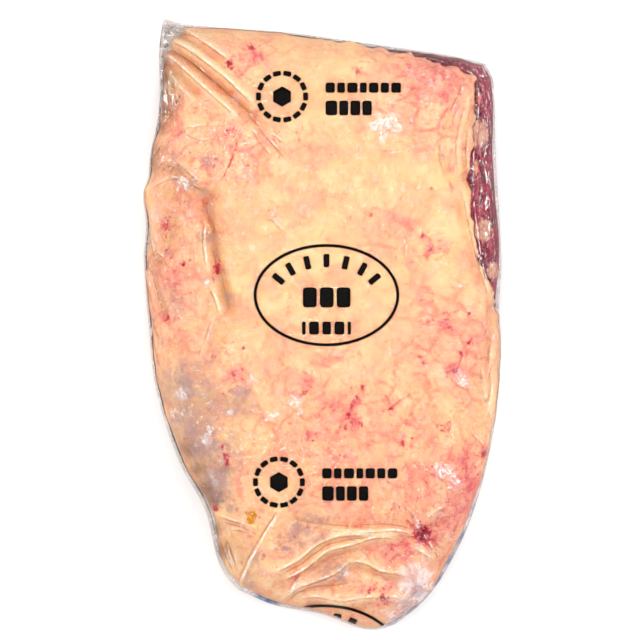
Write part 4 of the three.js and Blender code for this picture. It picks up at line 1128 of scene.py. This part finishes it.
    # painted highlight: a thin bright line along each crest, broken in places
    crest = line_share(add, "crest", 0.42, about_zero(add, crackle, 1.5))
    crest = add("Math", (crest, broken), operation="MULTIPLY")
    glare = speckle(add, place, 2.2, 3, 0.7, 0.9, (1, 2.4, 1))
    streak_glints = add("MapRange", (glare, 0.58, 0.62, 0, 0.9), **EASED)
    streak_glints = add("Math", (streak_glints, bare), operation="MULTIPLY")
    highlight_share = add("Math", (highlight_share, sheen), operation="MAXIMUM")
    dashes = add("Math", (dashes, pulled_glints), operation="MAXIMUM")
    highlight_share = add("Math", (highlight_share, dashes), operation="MAXIMUM")
    crest = add("Math", (crest, 0.8), operation="MULTIPLY")
    highlight_share = add("Math", (highlight_share, crest), operation="MAXIMUM")
    highlight_share = add("Math", (highlight_share, streak_glints), operation="MAXIMUM")
    facing = add("MapRange", (grazing, 0.5, 0.85, 1.0, 0.25), **EASED)
    highlight_share = add("Math", (highlight_share, facing), operation="MULTIPLY")
    # a white diffuse layer for all painted highlights and sheen, lilac-grey where the slack film's sheen is
    painted_highlights = add("BsdfDiffuse", [coat(add, "#fdf6f2", "#d6d3e6", facet_sheen, 0.7, 1.1)])
    add("OutputMaterial", [add("MixShader", (highlight_share, glass, painted_highlights))])
    return material


film.data.materials.clear()
film.data.materials.append(clear_film())
in_metres(film)
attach(film, "root")
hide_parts("vacuum_bag")

# --------------------------------------------------------------------------------------------------
# Print: black ink on the film. Three plain marks stand along the pack, a dashed ring round a hexagon
# beside two rows of strokes, an oval ring round rows of strokes, and the first again.
# --------------------------------------------------------------------------------------------------

PRINT_LIFT = 70.0  # the height from which the print is laid down on the film
INK_GAP, INK_DEPTH = 0.08, 0.04
OVAL = (65.6, 46.0, 1.3)  # across, along, and the width of its line
BADGE_STROKES, BADGE_RADIUS, HEXAGON_RADIUS = 14, 10.6, 4.6
ARC_STROKES, ARC_START, ARC_SPAN, ARC = 7, 152, 124, (24.5, 15.6)  # degrees, and the arc's half axes


def flat_mark(primitive, stretch=(1, 1), turn=0.0, **settings):
    """Adds a flat primitive at the height of the print, and brings its scale into its mesh."""
    bpy.ops.object.select_all(action="DESELECT")
    getattr(bpy.ops.mesh, primitive)(rotation=(0, 0, turn), **settings)
    mark = bpy.context.object
    mark.scale = (*stretch, 1)
    bpy.ops.object.transform_apply(location=True, rotation=True, scale=True)
    return mark


def flat_bar(cx, cy, width, height, turn=0.0):
    bar = flat_mark("primitive_plane_add", (width, height), turn, size=1, location=(cx, cy, PRINT_LIFT))
    bpy.ops.object.mode_set(mode="EDIT")
    bpy.ops.mesh.select_all(action="SELECT")
    bpy.ops.mesh.bevel(offset=0.22 * min(width, height), segments=3, affect="VERTICES")
    bpy.ops.object.mode_set(mode="OBJECT")
    return bar


def flat_ring(cx, cy, across, length, line):
    centre = (cx, cy, PRINT_LIFT)
    ring = flat_mark("primitive_circle_add", (across / 2, length / 2), vertices=128, radius=1,
                     location=centre)
    bpy.ops.object.mode_set(mode="EDIT")
    bpy.ops.mesh.select_all(action="SELECT")
    bpy.ops.mesh.extrude_edges_move()
    bpy.ops.transform.resize(value=(1 - 2 * line / across, 1 - 2 * line / length, 1), center_override=centre)
    bpy.ops.object.mode_set(mode="OBJECT")
    return ring


def stroke_row(x, y, widths, height, gap):
    bars = []
    for width in widths:
        bars.append(flat_bar(x + width / 2, y, width, height))
        x += width + gap
    return bars


def dashed_badge(cx, cy):
    """A ring of short strokes round a plain hexagon, with two rows of strokes beside it."""
    parts = [flat_mark("primitive_circle_add", vertices=6, radius=HEXAGON_RADIUS, fill_type="NGON",
                       location=(cx, cy, PRINT_LIFT))]
    for k in range(BADGE_STROKES):
        angle = 2 * math.pi * k / BADGE_STROKES
        x, y = cx + BADGE_RADIUS * math.cos(angle), cy + BADGE_RADIUS * math.sin(angle)
        parts.append(flat_bar(x, y, 3.6, 2.2, angle + math.pi / 2))
    parts += stroke_row(cx + 19.6, cy + 4.0, [4.2, 3.4, 4.6, 3.0, 4.2, 3.6, 4.4], 4.6, 1.1)
    parts += stroke_row(cx + 19.6, cy - 5.2, [5.2, 4.0, 4.4, 4.2], 6.6, 1.0)
    return parts


def oval_mark(cx, cy):
    """An oval ring with an arc of strokes, a row of broad ones and a row of small ones."""
    parts = [flat_ring(cx, cy, *OVAL)]
    for k in range(ARC_STROKES):
        angle = math.radians(ARC_START - k * ARC_SPAN / (ARC_STROKES - 1))
        x, y = ARC[0] * math.cos(angle), ARC[1] * math.sin(angle)
        lean_over = math.atan2(y / ARC[1]**2, x / ARC[0]**2) - math.pi / 2
        parts.append(flat_bar(cx + x, cy + y, 2.6, 6.0, lean_over))
    parts += stroke_row(cx - 10.6, cy - 1.0, [6.2, 6.2, 6.2], 9.0, 1.4)
    parts += stroke_row(cx - 11.0, cy - 14.8, [1.6, 4.4, 3.8, 4.4, 1.4], 5.8, 1.6)
    return parts


def end_mark(cx, cy):
    """The upper edge of the next oval, which the tip of the pack cuts off."""
    parts = [flat_ring(cx, cy, *OVAL)]
    for x, y, height, turn in ((-2, 18.2, 2.2, 0.1), (5, 17.4, 2.4, -0.15), (12, 15.4, 2.4, -0.4)):
        parts.append(flat_bar(cx + x, cy + y, 3.6, height, turn))
    return parts


marks = dashed_badge(-18, 102.5) + oval_mark(2, 13) + dashed_badge(-19.5, -71.5) + end_mark(2, -151)
bpy.ops.object.select_all(action="DESELECT")
for mark in marks:
    mark.select_set(True)
bpy.context.view_layer.objects.active = marks[0]
bpy.ops.object.join()
print_ink = bpy.context.object
print_ink.name = print_ink.data.name = "print"
bpy.ops.object.mode_set(mode="EDIT")
bpy.ops.mesh.select_all(action="SELECT")
bpy.ops.mesh.quads_convert_to_tris()
bpy.ops.mesh.subdivide(number_cuts=3)
bpy.ops.object.mode_set(mode="OBJECT")
in_metres(print_ink)
apply(print_ink, "SHRINKWRAP", target=film, wrap_method="PROJECT", use_project_z=True,
      use_positive_direction=False, use_negative_direction=True, offset=INK_GAP * MM)

# What is left off the film goes, so that the last oval ends where the pack does.
bpy.ops.object.mode_set(mode="EDIT")
bpy.ops.mesh.select_mode(type="VERT")
bpy.ops.mesh.select_all(action="DESELECT")
bpy.ops.object.mode_set(mode="OBJECT")
for vertex in print_ink.data.vertices:
    half_way = 0.5 * thickness_at(np.array([vertex.co.y / MM + CENTRING[1]]))[0]
    vertex.select = not half_way < vertex.co.z / MM < PRINT_LIFT - 1
bpy.ops.object.mode_set(mode="EDIT")
bpy.ops.mesh.delete(type="VERT")
bpy.ops.object.mode_set(mode="OBJECT")
apply(print_ink, "SOLIDIFY", thickness=INK_DEPTH * MM, offset=1)


def print_black():
    """Solvent ink: dense black, with the film's own gloss."""
    material, add = finish("black film ink")
    wear = speckle(add, add("TexCoord", out="Object"), 1.4, 3, 0.7)
    colour = coat(add, "#0c0a09", "#1d1b1b", wear, 0.55, 0.8)
    bump = add("Bump", {"Height": wear, "Strength": 0.4, "Distance": 0.3 * MM})
    inputs = {"Base Color": colour, "Roughness": 0.45, "Specular IOR Level": 0.08, "Normal": bump}
    add("OutputMaterial", [add("BsdfPrincipled", inputs)])
    return material


print_ink.data.materials.clear()
print_ink.data.materials.append(print_black())
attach(print_ink, "root")

# --------------------------------------------------------------------------------------------------
# Studio: a white table, a soft sky, four softboxes and small strips for the glints on the film. The
# camera stands straight above and far off, as the photo shows no flank on the side away from the light.
# --------------------------------------------------------------------------------------------------

bpy.ops.object.select_all(action="DESELECT")
bpy.ops.mesh.primitive_plane_add(size=6, location=(0, 0, -0.0005))
table = bpy.context.object
table.name = "table"
white, add = finish("white laminate")
add("OutputMaterial", [add("BsdfPrincipled", {"Base Color": "#ffffff", "Roughness": 0.8})])
table.data.materials.append(white)

world = bpy.data.worlds.new("soft sky")
bpy.context.scene.world = world
world.use_nodes = True
world.node_tree.nodes["Background"].inputs["Color"].default_value = (1, 1, 1, 1)
world.node_tree.nodes["Background"].inputs["Strength"].default_value = 0.14


def lamp(name, place, size, power, mirrored):
    bpy.ops.object.light_add(type="AREA", location=place)
    light = bpy.context.object
    light.name = name
    light.data.shape = "RECTANGLE"
    light.data.size, light.data.size_y = size
    light.data.energy = power
    light.visible_glossy = mirrored
    light.rotation_euler = (Vector((0, 0, 0.02)) - Vector(place)).to_track_quat("-Z", "Y").to_euler()


SOFTBOX, SHORT_STRIP, LONG_STRIP, STRIP_POWER = 0.7, (0.03, 0.2), (0.04, 0.4), 0.9
for name, place, power in (("far", (0.1, 1.0, 1.0), 6.2), ("right", (1.0, 0.1, 0.85), 10.5),
                           ("left", (-1.0, 0.0, 0.8), 10.5), ("near", (0.0, -1.0, 1.0), 4.5)):
    lamp(name + " softbox", place, (SOFTBOX, SOFTBOX), power, False)
for name, place, size in (
        ("left", (-0.3, 0.12, 1.3), SHORT_STRIP), ("right", (0.42, 0.1, 1.3), SHORT_STRIP),
        ("far", (0.05, 0.36, 1.3), SHORT_STRIP[::-1]), ("near", (-0.05, -0.32, 1.3), SHORT_STRIP[::-1]),
        ("low left", (-1.0, 0.1, 0.9), LONG_STRIP), ("low right", (1.0, 0.1, 0.9), LONG_STRIP),
        ("low far", (0.1, 1.0, 0.9), LONG_STRIP[::-1]), ("low near", (0, -1.0, 0.9), LONG_STRIP[::-1])):
    lamp(name + " strip", place, size, STRIP_POWER, True)

LENS, SENSOR = 300.0, 36.0
FRAME_WIDTH = 0.29235  # what 640 pixels span at the height of the outline
OUTLINE_HEIGHT = 0.012
distance = FRAME_WIDTH * LENS / SENSOR
bpy.ops.object.camera_add(location=(-0.00113, 0.00144, OUTLINE_HEIGHT + distance), rotation=(0, 0, 0))
camera = bpy.context.object
camera.data.lens, camera.data.sensor_width, camera.data.clip_end = LENS, SENSOR, 20
bpy.context.scene.camera = camera
bpy.context.scene.view_settings.view_transform = "Standard"
